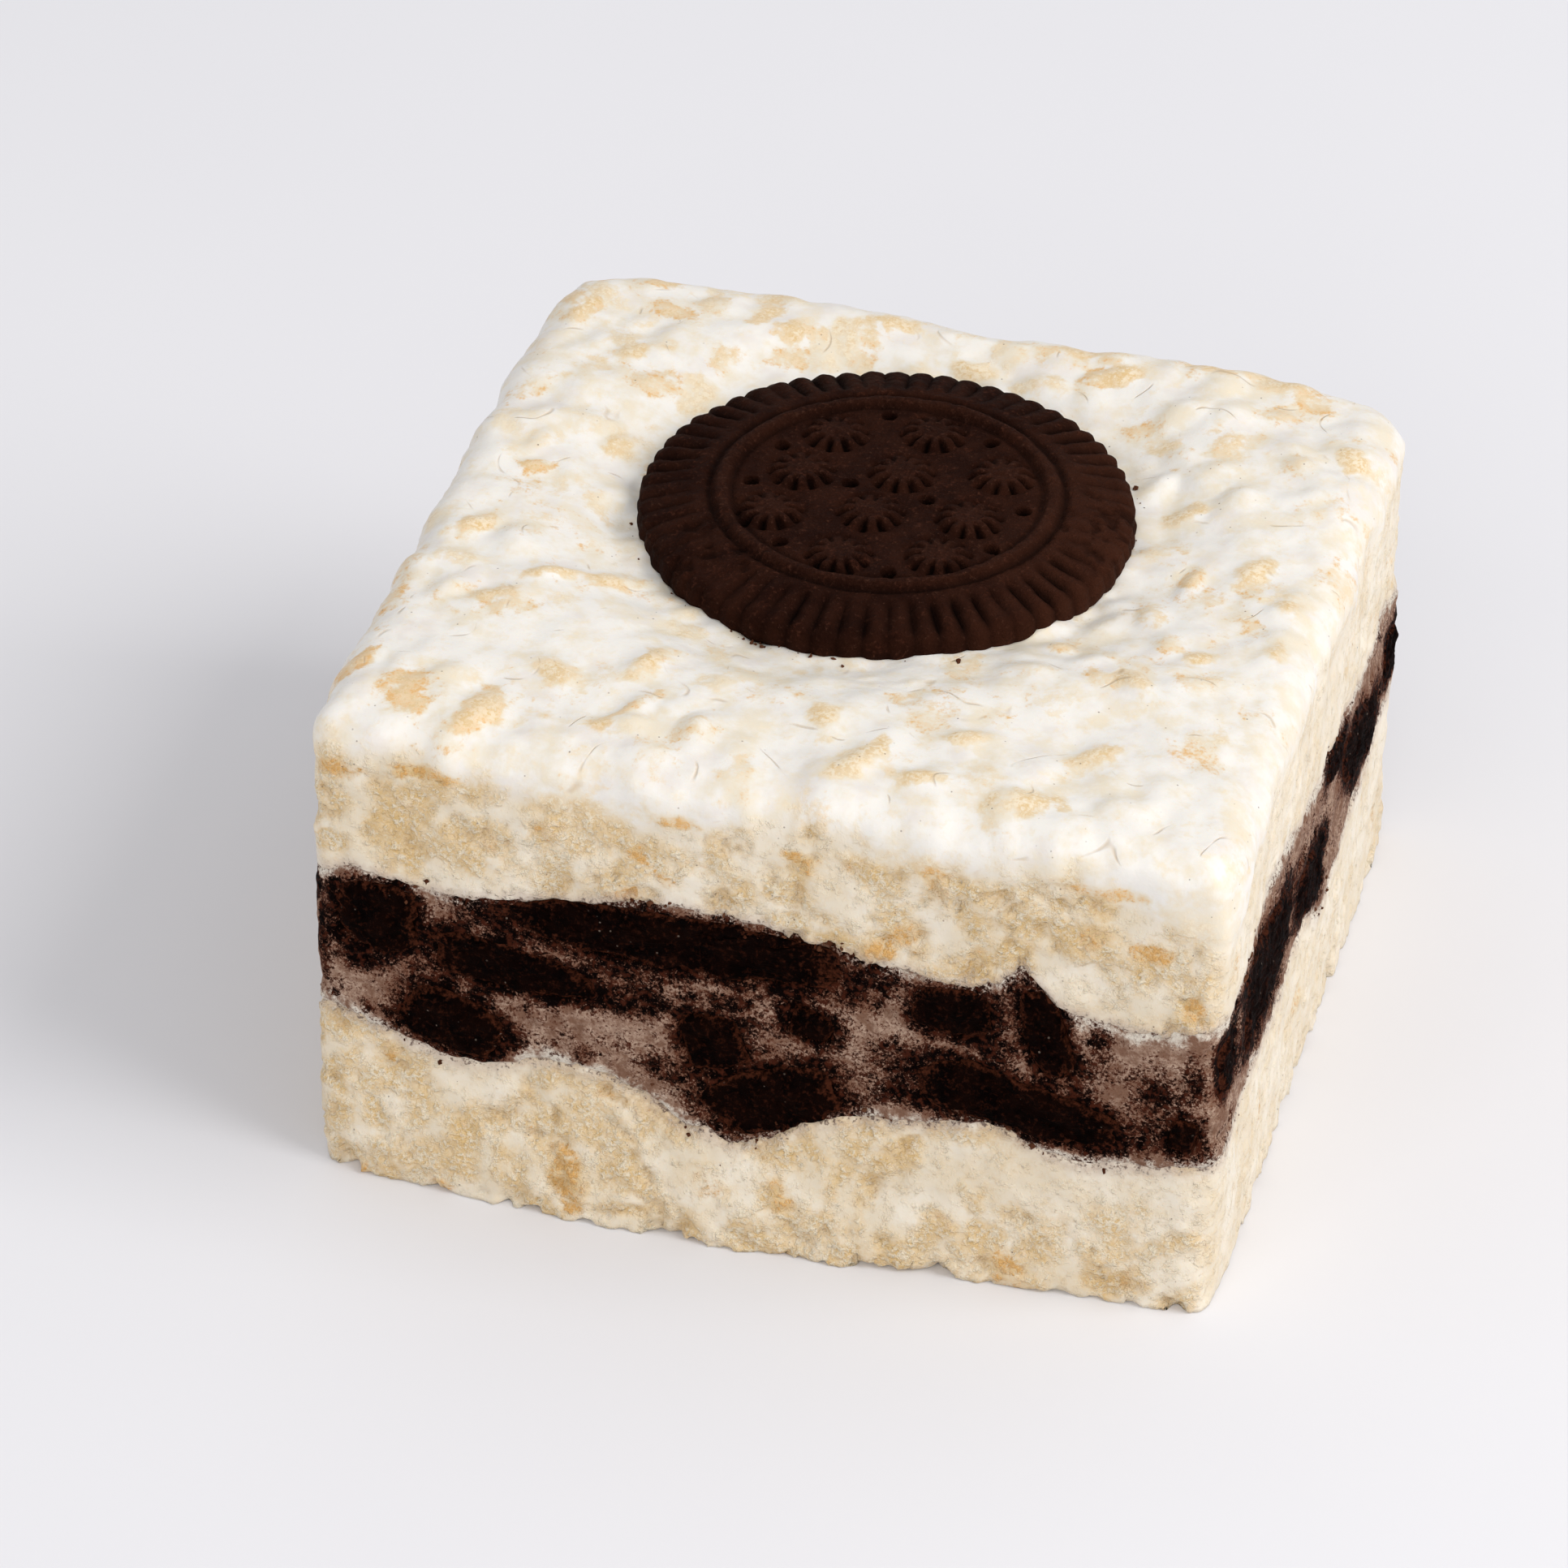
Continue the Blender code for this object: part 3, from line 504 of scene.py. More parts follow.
seam = plan(across, up, np.full(COLUMNS, seam_high_z))
high_seam = seam_high_z + swell(seam, HIGH_SEAM_SWELLS) + 0.3 * MM * rough(seam, 2.4 * MM, 45)
share = np.linspace(0.0, 1.0, FILLING_ROWS)[:, None]
height = low_seam - layer_overlap + (high_seam - low_seam + 2 * layer_overlap) * share
side = cut_side(across, up, height, tucked=tuck(low_seam - height) + tuck(height - high_seam))
stain = np.zeros(side.shape[:2])
sunk = np.zeros(side.shape[:2])
quarter = COLUMNS // 4
for number, (side_name, chunks) in enumerate(CHUNKS.items()):
    part = slice(number * quarter, (number + 1) * quarter)
    along = {"front": side[:, part, 0], "right": side[:, part, 1],
             "back": -side[:, part, 0], "left": -side[:, part, 1]}[side_name]
    draw = np.random.default_rng(90 + number)
    smudges = FRONT_SMUDGES if side_name == "front" else draw.uniform(
        (-40.0, 18.0, 2.0, 1.2, 0.5), (40.0, 30.0, 6.0, 3.0, 1.1), (22, 5)
    )
    for middle, level, half_width, half_height, strength in smudges:
        flat = (along - middle * MM) / half_width
        tall = (side[:, part, 2] - level * MM) / half_height
        blot = strength * smooth(1.15, 0.35, np.hypot(flat, tall) / MM)
        stain[:, part] = np.maximum(stain[:, part], blot)
    for chunk in chunks:
        near = chunk_share(chunk, along, side[:, part, 2])
        width = (min(chunk[2], chunk[3]) + 1.5) / min(chunk[2], chunk[3])
        stain[:, part] = np.maximum(stain[:, part], smooth(width, 0.95, near))
        sunk[:, part] = np.maximum(sunk[:, part], smooth(0.94, 0.7, near))
stain = stain + 0.30 * rough(side, 1.7 * MM, 75, 4)
bubble = smooth(0.45, 0.8, noise(side, 1.3 * MM, 71))
relief = 0.16 * MM * rough(side, 1.5 * MM, 72) - 0.3 * MM * bubble - 0.9 * MM * sunk
side = side + outward(side) * relief[..., None]
edge = np.minimum(side[..., 2] - low_seam, high_seam - side[..., 2])
rows = np.concatenate([[side[0] * (0.8, 0.8, 1.0)], side, [side[-1] * (0.8, 0.8, 1.0)]])
pad = [(1, 1), (0, 0)]
filling = closed_mesh(
    "cream_and_biscuit_dust", rows,
    stain=np.pad(stain, pad, mode="edge"),
    pale=np.pad(smooth(2.0 * MM, 0.0, edge), pad, mode="edge"),
)

CREAM_DEEP, CREAM_PALE, CREAM_EDGE = (0.22, 0.117, 0.076), (0.53, 0.375, 0.28), (0.77, 0.70, 0.60)
STAIN_BROWN = (0.126, 0.040, 0.021)
DUST_BLACK, DUST_BROWN = (0.0022, 0.0005, 0.0003), (0.058, 0.0140, 0.0066)

filling_material, shader, place = new_material("cream_with_biscuit_dust")
stain, pale = place.attribute("stain"), place.attribute("pale")
speckle = place.noise(0.30 * MM, 3.0, 0.75)
grit = place.noise(1.0 * MM, 4.0, 0.68)
cloud = place.noise(4.4 * MM, 2.0, 0.6)
cream = (grit + (cloud - 0.5) * 0.6).between(0.33, 0.67).mix(CREAM_DEEP, CREAM_PALE)
paler = pale * 0.75 + (grit - 0.5) * 2.4 + (cloud - 0.5) * 1.6
whiter = paler.between(0.3, 1.0).mix(cream, CREAM_EDGE)
density = stain * 1.3 + (cloud - 0.5) * 2.1 + (grit - 0.5) * 2.8 - pale * 0.45 - 0.24
dots = (speckle - 0.5) * 4.6 + density
brown = (dots.between(-0.50, 0.42) * 0.9).mix(whiter, STAIN_BROWN)
dark = place.noise(0.6 * MM, 2.0).between(0.47, 0.68).mix(DUST_BLACK, DUST_BROWN)
coloured = dots.between(0.0, 0.80).mix(brown, dark)
height = (speckle - 0.5) * 0.9 + (grit - 0.5) * 1.6
connect(
    shader,
    {"Base Color": coloured, "Roughness": dots.between(0.0, 0.6) * 0.15 + 0.5,
     "Normal": height.bump(0.30 * MM)},
    {"Specular IOR Level": 0.02},
)
filling.data.materials.append(filling_material)
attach(filling, "root")
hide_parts("cream_filling")

# The biscuit pieces: dark chocolate biscuits broken by hand, cut through by the knife. Each is a
# crumbly block set in the cream, its cut face nearly level with the side and its edges broken.
CHUNK_COLUMNS = 96
CAP_ROWS = 26
CHUNK_DEPTH = 7.5 * MM
BISCUIT_BLACK, BISCUIT_DARK = (0.0016, 0.0003, 0.0002), (0.0070, 0.0018, 0.0009)
BISCUIT_CRUMB, BISCUIT_RUST = (0.042, 0.0110, 0.0052), (0.095, 0.0260, 0.0122)
LOOSE_CRUMB, SUGAR_GLINT = (0.20, 0.085, 0.045), (0.36, 0.28, 0.22)

biscuit_material, shader, place = new_material("broken_chocolate_biscuit")
fine = place.noise(0.5 * MM, 5.0, 0.7)
coarse = place.noise(2.2 * MM, 3.0, 0.6)
rim = place.attribute("rim")
dark = coarse.between(0.35, 0.65).mix(BISCUIT_BLACK, BISCUIT_DARK)
crumbly = (fine.between(0.50, 0.72) * 0.9).mix(dark, BISCUIT_CRUMB)
rust = (rim * 0.75 + (fine - 0.5) * 2.2).between(0.35, 0.95) * 0.9
rusty = rust.mix(crumbly, BISCUIT_RUST)
loose = (rim - 1.0).mix(rusty, LOOSE_CRUMB)
gate = place.noise(4.0 * MM).between(0.48, 0.6)
glint = (1.0 - place.cells(1.2 * MM).between(0.06, 0.11)) * gate * 0.55
coloured = glint.mix(loose, SUGAR_GLINT)
height = fine * 1.8 + place.cells(0.75 * MM) * 0.7
connect(
    shader,
    {"Base Color": coloured, "Roughness": fine * 0.3 + 0.55, "Normal": height.bump(0.36 * MM)},
    {"Specular IOR Level": 0.02},
)


def chunk_piece(name, side_name, number, chunk):
    """One biscuit piece: rings from its deep end out to the cut side, then inwards over the cut
    face. The outline is the superellipse, uneven from corner to corner and frayed by noise."""
    middle, level, half_width, half_height, degrees, taper = chunk
    side_number = list(CHUNKS).index(side_name)
    draw = np.random.default_rng(abs(int(middle * 10)) + abs(int(level * 7)) + 100 * side_number)
    corner = np.arange(11) / 11 * math.tau + draw.uniform(0, 0.4)
    uneven = draw.uniform(0.88, 1.06, 11)
    depth = CHUNK_DEPTH * draw.uniform(0.7, 1.0)
    angle = np.arange(CHUNK_COLUMNS) / CHUNK_COLUMNS * math.tau
    pull = (np.abs(np.cos(angle)) ** 3.2 + np.abs(np.sin(angle)) ** 3.2) ** (-1 / 3.2)
    fray = np.stack([np.cos(angle) * half_width, np.sin(angle) * half_height,
                     np.full(CHUNK_COLUMNS, 9.0 * number)], -1)
    size = np.interp(angle, corner, uneven, period=math.tau) * (1 + 0.14 * rough(fray, 1.5, 81, 5))
    flat = half_width * MM * size * np.cos(angle) * pull
    taller = 1.0 + taper * np.cos(angle) * pull
    tall = half_height * MM * size * np.sin(angle) * pull * taller
    turn = math.radians(degrees)
    right = flat * math.cos(turn) - tall * math.sin(turn)
    rise = flat * math.sin(turn) + tall * math.cos(turn)
    cap = np.linspace(1.0, 0.0, CAP_ROWS)[:-1] ** 0.8
    reach = np.concatenate([[0.5, 0.8, 0.9, 1.0], cap])[:, None]
    sink = np.concatenate([[1.0, 1.0, 0.5, 0.12], np.zeros(CAP_ROWS - 1)])[:, None] * depth
    along = middle * MM + right * reach
    height = level * MM + rise * reach
    square_x, square_y = side_place(side_name, along)
    seam_spot = plan(square_x, square_y, height)
    lowest = seam_low_z + swell(seam_spot, LOW_SEAM_SWELLS) + 0.3 * MM
    highest = seam_high_z + swell(seam_spot, HIGH_SEAM_SWELLS) - 0.3 * MM
    height = np.clip(height, lowest, highest)
    points = cut_side(square_x, square_y, height)
    toward = {"front": (0, -1), "right": (1, 0), "back": (0, 1), "left": (-1, 0)}[side_name]
    proud = 0.28 * rough(points, 1.3 * MM, 83, 4) + 0.16 - 0.5 * smooth(0.78, 1.0, reach)
    proud = np.where(sink > 0, -0.5, proud) * MM - sink
    points[..., :2] += np.array(toward) * proud[..., None]
    return closed_mesh(name, points[:, ::-1], rim=np.broadcast_to(
        smooth(0.55, 1.0, reach), points.shape[:2]))


for side_name, chunks in CHUNKS.items():
    for number, chunk in enumerate(chunks, 1):
        piece = chunk_piece(f"biscuit_piece_{side_name}_{number}", side_name, number, chunk)
        piece.data.materials.append(biscuit_material)
        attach(piece, "root")
        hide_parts(f"biscuit_{side_name}_{number}")

# The upper layer: puffed rice in marshmallow again, cut like the lower one at its sides. Its top
# was brushed with melted marshmallow, a white coat that runs over the grains and the edge, so
# the grains are soft lumps with a tan shade where the coat is thin.
wafer_x, wafer_y = -1.3 * MM, 7.5 * MM
wafer_low, wafer_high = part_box("wafer")
wafer_r = (wafer_high.x - wafer_low.x) / 2
edge_round = 3.6 * MM
UPPER_ROWS = 36
# Grains that show through the coat: x, y, half length, half width, turn in degrees, toast.
BARE_GRAINS = (
    (-34, -33.5, 3.7, 2.7, 80, 0.8), (-27, -34, 4.3, 1.7, 75, 0.5), (-40, -30, 2.8, 1.5, 60, 1.0),
    (-15, -31, 4.0, 0.9, 55, 0.5), (12, -34, 2.2, 1.3, 10, 0.2), (6.5, -33, 4.2, 1.6, 60, 0.15),
    (22, -35, 3.4, 1.8, 20, 0.1), (26, -26, 2.8, 1.5, 40, 0.25), (27, -15, 2.8, 1.4, 140, 0.2),
    (31, -9, 2.0, 1.3, 30, 0.2), (19, -9, 1.8, 1.1, 170, 0.5), (-34, 5, 2.0, 1.3, 20, 0.95),
    (28, 4, 2.6, 1.0, 80, 0.6), (25, 15, 2.2, 1.6, 40, 0.2), (38, 26, 2.4, 1.5, 120, 0.2),
    (9, 38, 4.6, 1.7, 5, 0.45), (14, 35, 2.2, 1.4, 30, 0.3), (22, 38, 3.0, 1.6, 170, 0.4),
    (29, 37, 3.2, 1.7, 160, 0.35), (-8, 38, 3.0, 1.5, 10, 0.3), (-17, 34, 2.6, 1.6, 20, 0.35),
    (-37, 32, 2.4, 1.4, 60, 0.45), (-30, 26, 3.0, 1.5, 30, 0.3), (-22, -10, 3.0, 1.4, 20, 0.4),
    (-27, -12, 3.4, 1.0, 35, 0.3), (-31, -17, 2.4, 1.3, 20, 0.35), (-15, -23, 3.2, 1.4, 60, 0.3),
    (33, 6, 2.4, 1.4, 60, 0.25), (37, 1, 2.2, 1.3, 80, 0.2), (38, -6, 2.0, 1.2, 90, 0.2),
    (-22, -27, 2.8, 1.5, 150, 0.25), (2, -27, 3.0, 1.6, 120, 0.15), (15, -27, 2.6, 1.3, 30, 0.2),
    (-36, -6, 2.6, 1.3, 45, 0.4), (-28, 12, 2.4, 1.3, 60, 0.25), (0, 34, 2.8, 1.4, 170, 0.25),
)


# Toasted grains near the front's top edge: along, height, half width, half height.
TOASTED_FRONT = (
    (-30.5, 44.6, 4.0, 1.2), (-38.5, 43.5, 2.2, 1.0), (-8.0, 44.0, 3.0, 0.8),
    (15.0, 43.4, 1.8, 0.8), (31.0, 44.0, 4.2, 0.8), (34.5, 38.5, 2.4, 1.2),
    (3.0, 42.5, 1.8, 0.9), (38.5, 33.0, 1.2, 1.4),
)


def coated_top(points):
    """The top's height over the plan, and how much tan grain shows there. A grain is an oval dome
    under the coat: rise * exp(-1.2 * share^2). The domes blend softly, as the cube root of the sum
    of their cubes, on a surface dished round the wafer, with soft lumps of noise. The coat laps
    unevenly at the wafer's edge, and has a few fine folds in front of it."""
    x, y = points[..., 0], points[..., 1]
    draw = np.random.default_rng(11)
    cell = 4.3 * MM
    grid_x, grid_y = np.meshgrid(
        np.arange(-half_x, half_x, cell), np.arange(-half_y, half_y, cell)
    )
    count = grid_x.size
    middles = np.stack([grid_x.ravel() + draw.uniform(0.1, 0.9, count) * cell,
                        grid_y.ravel() + draw.uniform(0.1, 0.9, count) * cell], 1)
    turns = draw.uniform(0.0, math.pi, count)
    lengths, widths = draw.uniform(2.3, 3.3, count) * MM, draw.uniform(1.3, 1.9, count) * MM
    rises = draw.uniform(0.0, 0.95, count) * MM
    rises *= smooth(-0.5, 0.6, rough(np.pad(middles, [(0, 0), (0, 1)]), 11 * MM, 91, 2))
    shows = draw.uniform(-0.5, 0.68, count) + 0.25 * smooth(18 * MM, 36 * MM, middles[:, 1])
    shows -= 0.2 * smooth(-8 * MM, -30 * MM, middles[:, 1])
    toasts = draw.uniform(0.0, 0.9, count) ** 1.5
    lift, grain, toast = np.zeros(x.shape), np.zeros(x.shape), np.zeros(x.shape)
    bare = [(bx * MM, by * MM, math.radians(turn), long * MM, wide * MM, 0.62 * MM, 0.95, brown)
            for bx, by, long, wide, turn, brown in BARE_GRAINS]
    hidden = zip(middles[:, 0], middles[:, 1], turns, lengths, widths, rises, shows, toasts)
    wander = 0.45 * rough(points, 1.6 * MM, 93, 4)
    for mid_x, mid_y, turn, length, width, rise, show, brown in [*hidden, *bare]:
        along = (x - mid_x) * math.cos(turn) + (y - mid_y) * math.sin(turn)
        beside = (y - mid_y) * math.cos(turn) - (x - mid_x) * math.sin(turn)
        share = np.hypot(along / length, beside / width)
        lift += (rise * np.exp(-1.2 * share**2)) ** 3
        seen = show * (1.0 - smooth(0.45, 1.25, share + wander))
        rim_tan = brown * (0.4 + 0.6 * smooth(0.2, 0.9, share + wander))
        toast = np.where(seen > grain, rim_tan, toast)
        grain = np.maximum(grain, seen)
    from_wafer = np.hypot(x - wafer_x, y - wafer_y)
    dish = 1.9 * MM * (1.0 - smooth(wafer_r, wafer_r + 11 * MM, from_wafer))
    lumps = 0.45 * MM * rough(points * (1, 1, 0), 8.0 * MM, 95, 3)
    fold_gate = smooth(4 * MM, 1 * MM, np.abs(from_wafer - wafer_r - 3.6 * MM))
    fold_gate *= smooth(9 * MM, 4 * MM, np.hypot(x - 8 * MM, y + 17 * MM))
    fold_gate *= smooth(-0.1, 0.7, rough(points, 2.8 * MM, 98))
    folds = np.sin((from_wafer + 0.9 * MM * rough(points, 4.0 * MM, 96)) / (0.24 * MM))
    from_middle = np.maximum(np.abs(x), np.abs(y))
    domes = np.cbrt(lift) * (0.95 - 0.45 * smooth(34 * MM, 40 * MM, from_middle))
    lip = rough(points * (1, 1, 0), 3.6 * MM, 94, 2) * smooth(3 * MM, 0, from_wafer - wafer_r)
    hollow = np.exp(-((np.hypot(x + 24.6 * MM, y - 1.0 * MM) / (2.6 * MM)) ** 2))
    lumps = lumps + 0.42 * MM * lip - 0.9 * MM * hollow
    height = top_z - 0.7 * MM - dish + domes + lumps
    return height + 0.06 * MM * folds * fold_gate, grain, toast


crown = plan(across, up, np.full(COLUMNS, top_z), edge_round)
crown_z = coated_top(crown)[0]
shoulder = crown_z - edge_round
share = np.linspace(0.0, 1.0, UPPER_ROWS)[:, None]
height = high_seam - layer_overlap + (shoulder - high_seam + layer_overlap) * share
side = cut_side(across, up, height, tucked=tuck(high_seam - height))
side_grain, side_toast, side_pore = cut_grains(side, 160)
for x, z, half_width, half_height in TOASTED_FRONT:
    flat, tall = (side[..., 0] - x * MM) / half_width, (side[..., 2] - z * MM) / half_height
    blot = smooth(1.2, 0.5, np.hypot(flat, tall) / MM + 0.3 * rough(side, 1.5 * MM, 163))
    blot = blot * (side[..., 1] < -37 * MM)
    side_grain, side_toast = np.maximum(side_grain, blot), np.maximum(side_toast, blot)
bend = np.linspace(0.0, math.pi / 2, 9)[1:-1, None]
rounded = cut_side(
    across, up, shoulder + edge_round * np.sin(bend), edge_round * (1.0 - np.cos(bend))
)
toward = crown[:, :2] - (wafer_x, wafer_y)
toward /= np.linalg.norm(toward, axis=1, keepdims=True)
bed_r = wafer_r - 0.25 * MM
bed = np.array([wafer_x, wafer_y]) + bed_r * toward
FLAT_ROWS = 56
share = np.linspace(0.0, 1.0, FLAT_ROWS)[:, None, None]
flat = np.zeros((FLAT_ROWS, COLUMNS, 3))
flat[..., :2] = crown[:, :2] + (bed - crown[:, :2]) * share
top_height, top_grain, top_toast = coated_top(flat)
flat[..., 2] = top_height
low_z = wafer_low.z - 0.3 * MM
floor_ring = np.column_stack([bed, np.full(COLUMNS, low_z)])
middle_ring = floor_ring * (0.5, 0.5, 1.0) + np.array([wafer_x, wafer_y, 0.0]) * 0.5
over = np.concatenate([side, rounded, flat])
coat_line = 44.9 * MM + 1.9 * MM * rough(over, 5.5 * MM, 97, 4)
right_corner = smooth(31 * MM, 41 * MM, over[..., 0]) * smooth(-28 * MM, -40 * MM, over[..., 1])
coat_line -= 6.0 * MM * right_corner
coat = smooth(-1.8 * MM, 1.9 * MM, over[..., 2] - coat_line)
cut_grain, cut_toast, cut_pore = cut_grains(rounded, 160)
edge_grain, edge_toast = coated_top(rounded)[1:]
cut_share = 1.0 - coat
grain = np.concatenate([side_grain, cut_grain, np.zeros(top_grain.shape)]) * cut_share
toast = np.concatenate([side_toast, cut_toast, np.zeros(top_grain.shape)]) * cut_share
pore = np.concatenate([side_pore, cut_pore, np.zeros(top_grain.shape)]) * cut_share
grain += np.concatenate([side_grain * 0.5, edge_grain, top_grain]) * coat
toast += np.concatenate([side_toast * 0.5, edge_toast, top_toast]) * coat
drape = 0.30 * MM * rough(over / (1, 1, 2.4), 3.4 * MM, 99, 2)
drape *= smooth(38 * MM, 46 * MM, over[..., 2])
inwards = np.linspace(1, 0, FLAT_ROWS) ** 2
drape *= np.concatenate([np.ones(len(side) + len(rounded)), inwards])[:, None]
fine_relief = rough(over, 1.2 * MM, 151) * (0.08 + 0.2 * grain) - 0.5 * pore
relief = MM * (fine_relief * cut_share + 0.25 * coat) + drape
over = over + outward(over) * relief[..., None]
under = side[0] * (0.8, 0.8, 1.0)
rows = np.concatenate([[under], over, [floor_ring], [middle_ring]])
pad = [(1, 2), (0, 0)]
upper = closed_mesh(
    "upper_crisps_and_coat", rows,
    grain=np.pad(grain, pad, mode="edge"), toast=np.pad(toast, pad, mode="edge"),
    pore=np.pad(pore, pad, mode="edge"), coat=np.pad(coat, pad, mode="edge"),
    dust=np.pad(smooth(1.6 * MM, 0.0, over[..., 2] - high_seam), pad, mode="edge"),
)
upper.data.materials.append(crisp_material)
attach(upper, "root")
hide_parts("upper_crisp_layer")

# The wafer: half of a chocolate sandwich biscuit, pressed in a die before baking. It has a band of
# radial ribs, a raised ring, and a face stamped with daisies and pricked with steam holes.
RIBS = 60
WAFER_COLUMNS = 720
face_z = 49.9 * MM
# In millimetres from the wafer's middle: its radius, where its ribbed band starts, the raised
# ring's radius and half width, and each groove's radius, half width and depth.
WAFER_RADIUS, BAND_RADIUS = 22.5, 17.5
RING_RADIUS, RING_HALF_WIDTH = 15.1, 0.62
GROOVES = ((14.1, 0.30, 0.20), (16.2, 0.32, 0.28))
ROSETTES = (
    (-7.0, 8.2), (1.6, 10.6), (9.4, 5.4), (-8.4, 1.2), (0.5, 3.2),
    (8.2, -2.4), (-9.4, -6.0), (-0.6, -3.8), (7.0, -9.0), (-1.6, -11.2),
)
PINHOLES = (
    (-3.0, 12.3), (7.2, 10.5), (-11.1, 4.7), (12.6, 0.3), (-3.6, 0.4),
    (3.8, -0.4), (-12.3, -1.7), (11.4, -6.6), (-7.2, -10.8), (3.4, -12.8),
)


def stamped_face(radius, angle):
    """The wafer's height over polar coordinates, in millimetres above its face, and its painted
    shade:
    a cosine wave for the ribs, bell curves for the ring and its grooves, a dome cut by ten cosine
    notches for each daisy, and pits for the steam holes. The painted shade darkens the rib
    grooves, the ring's grooves, the notches, the pocks and the holes, and the notches are deepest
    and most shaded on each daisy's front side. The band is worn and pocked in two places."""
    x, y = radius * np.cos(angle), radius * np.sin(angle)
    flange = smooth(17.2, 18.6, radius)
    slope = -0.75 * smooth(17.0, 22.0, radius) - 0.8 * smooth(21.0, 23.0, radius) ** 1.5
    rib = 0.5 + 0.5 * np.cos(RIBS * angle)
    flat_place = np.stack([x, y, 0 * x], -1)
    wear = 1.0 + 0.6 * noise(flat_place, 3.0, 117)
    worn_off = smooth(8.5, 4.5, np.hypot(x + 14.5, y + 15.0))
    worn_off = worn_off + 0.9 * smooth(8.0, 3.5, np.hypot(x - 21.5, (y - 1.0) * 0.8))
    groove = (1.0 - rib**0.4) * flange * wear * (1.0 - 0.8 * worn_off)
    groove = groove * (0.50 - 0.22 * smooth(21.0, 22.5, radius))
    ring = 0.42 * np.exp(-(((radius - RING_RADIUS) / RING_HALF_WIDTH) ** 4))
    grooves = sum(deep * np.exp(-(((radius - far) / wide) ** 2)) for far, wide, deep in GROOVES)
    pocked = 0.28 * worn_off * smooth(0.1, 0.9, rough(flat_place, 1.3, 118, 4))
    shade = groove * 1.6 + grooves * 2.6 + pocked * 2.0
    height = slope - groove + ring - grooves - pocked
    for mid_x, mid_y in ROSETTES:
        right, rise = x - mid_x, y - mid_y
        reach, turn = 1.1 * np.hypot(right, rise), np.arctan2(rise, right)
        notch = (0.5 - 0.5 * np.cos(10 * turn)) ** 3.0
        band = smooth(1.3, 2.3, reach) * smooth(3.6, 3.0, reach)
        band = band * (0.5 + 0.5 * smooth(0.5, -0.7, rise / np.maximum(reach, 0.1)))
        dome = 0.42 * (1.0 - smooth(2.2, 3.3, reach))
        dome = dome - 0.12 * np.exp(-(((reach - 3.4) / 0.35) ** 2))
        dome = dome + 0.10 * np.exp(-((reach / 0.55) ** 2))
        height = height + dome - notch * band * 0.85
        shade = shade + notch * band * 1.1
    for mid_x, mid_y in PINHOLES:
        reach = np.hypot(x - mid_x, y - mid_y)
        hole = 1.0 - smooth(0.42, 0.78, reach)
        height, shade = height - 1.4 * hole, shade + 1.5 * hole
    return height, np.clip(shade, 0, 1)


angle = np.arange(WAFER_COLUMNS) / WAFER_COLUMNS * math.tau
band_rows, face_rows = np.linspace(WAFER_RADIUS, 17.0, 26), np.linspace(16.8, 0.4, 78)
radius = np.concatenate([band_rows, face_rows])[:, None]
scallop = 0.20 * (1.0 - (0.5 + 0.5 * np.cos(RIBS * angle)) ** 0.45)
face_height, face_shade = stamped_face(radius, angle)
outer = WAFER_RADIUS - scallop * smooth(BAND_RADIUS, WAFER_RADIUS, radius)
stretch = (outer - BAND_RADIUS) / (WAFER_RADIUS - BAND_RADIUS)
past_band = radius - BAND_RADIUS
spread = np.where(past_band > 0, BAND_RADIUS + past_band * stretch, radius)
grid = np.stack([spread * np.cos(angle), spread * np.sin(angle), face_z / MM + face_height], -1)
grid = grid * MM
wall_share = np.linspace(0.0, 1.0, 12)[:-1, None]
wall = np.repeat(grid[:1], 11, axis=0)
wall[..., 2] = wafer_low.z + (grid[0, :, 2] - 0.35 * MM - wafer_low.z) * wall_share
wall[..., :2] *= 1.0 + 0.010 * np.sin(wall_share[..., None] * math.pi)
base = wall[0] * (0.5, 0.5, 1.0)
rows = np.concatenate([[base], wall, grid])
grit = rough(rows, 0.8 * MM, 111, 3) * 0.07 * MM + rough(rows, 4.0 * MM, 115, 2) * 0.08 * MM
grit[:2] = 0.0
rows = rows + outward(rows) * grit[..., None]
rows[..., :2] += (wafer_x, wafer_y)
rows = np.minimum(rows, (9.0, 9.0, wafer_high.z + 0.25 * MM))
pad = [(12, 0), (0, 0)]
wafer = closed_mesh(
    "chocolate_wafer", rows,
    raised=np.pad(face_height, pad, mode="edge"), shade=np.pad(face_shade, pad, mode="edge"),
)

WAFER_DARK, WAFER_BROWN = (0.0165, 0.0043, 0.0020), (0.0280, 0.0080, 0.0038)
WAFER_WORN, WAFER_RUST = (0.046, 0.0160, 0.0090), (0.060, 0.0170, 0.0085)
WAFER_FLOURY, WAFER_LIT_RIGHT = (0.100, 0.044, 0.028), (0.075, 0.0240, 0.0120)
WAFER_PAINTED_SHADE = (0.0030, 0.0009, 0.0005)

wafer_material, shader, place = new_material("baked_chocolate_wafer")
fine = place.noise(0.35 * MM, 4.0, 0.7)
mottle = place.noise(3.0 * MM, 3.0, 0.6)
raised = place.attribute("raised")
dark = mottle.between(0.35, 0.65).mix(WAFER_DARK, WAFER_BROWN)
worn = (raised.between(-0.1, 0.5) * fine.between(0.35, 0.7) * 0.6).mix(dark, WAFER_WORN)
rust = place.noise(1.4 * MM, 2.0).between(0.52, 0.68) * fine.between(0.45, 0.65)
rusty = (rust * 0.6).mix(worn, WAFER_RUST)
floury = (fine.between(0.56, 0.76) * 0.6).mix(rusty, WAFER_FLOURY)
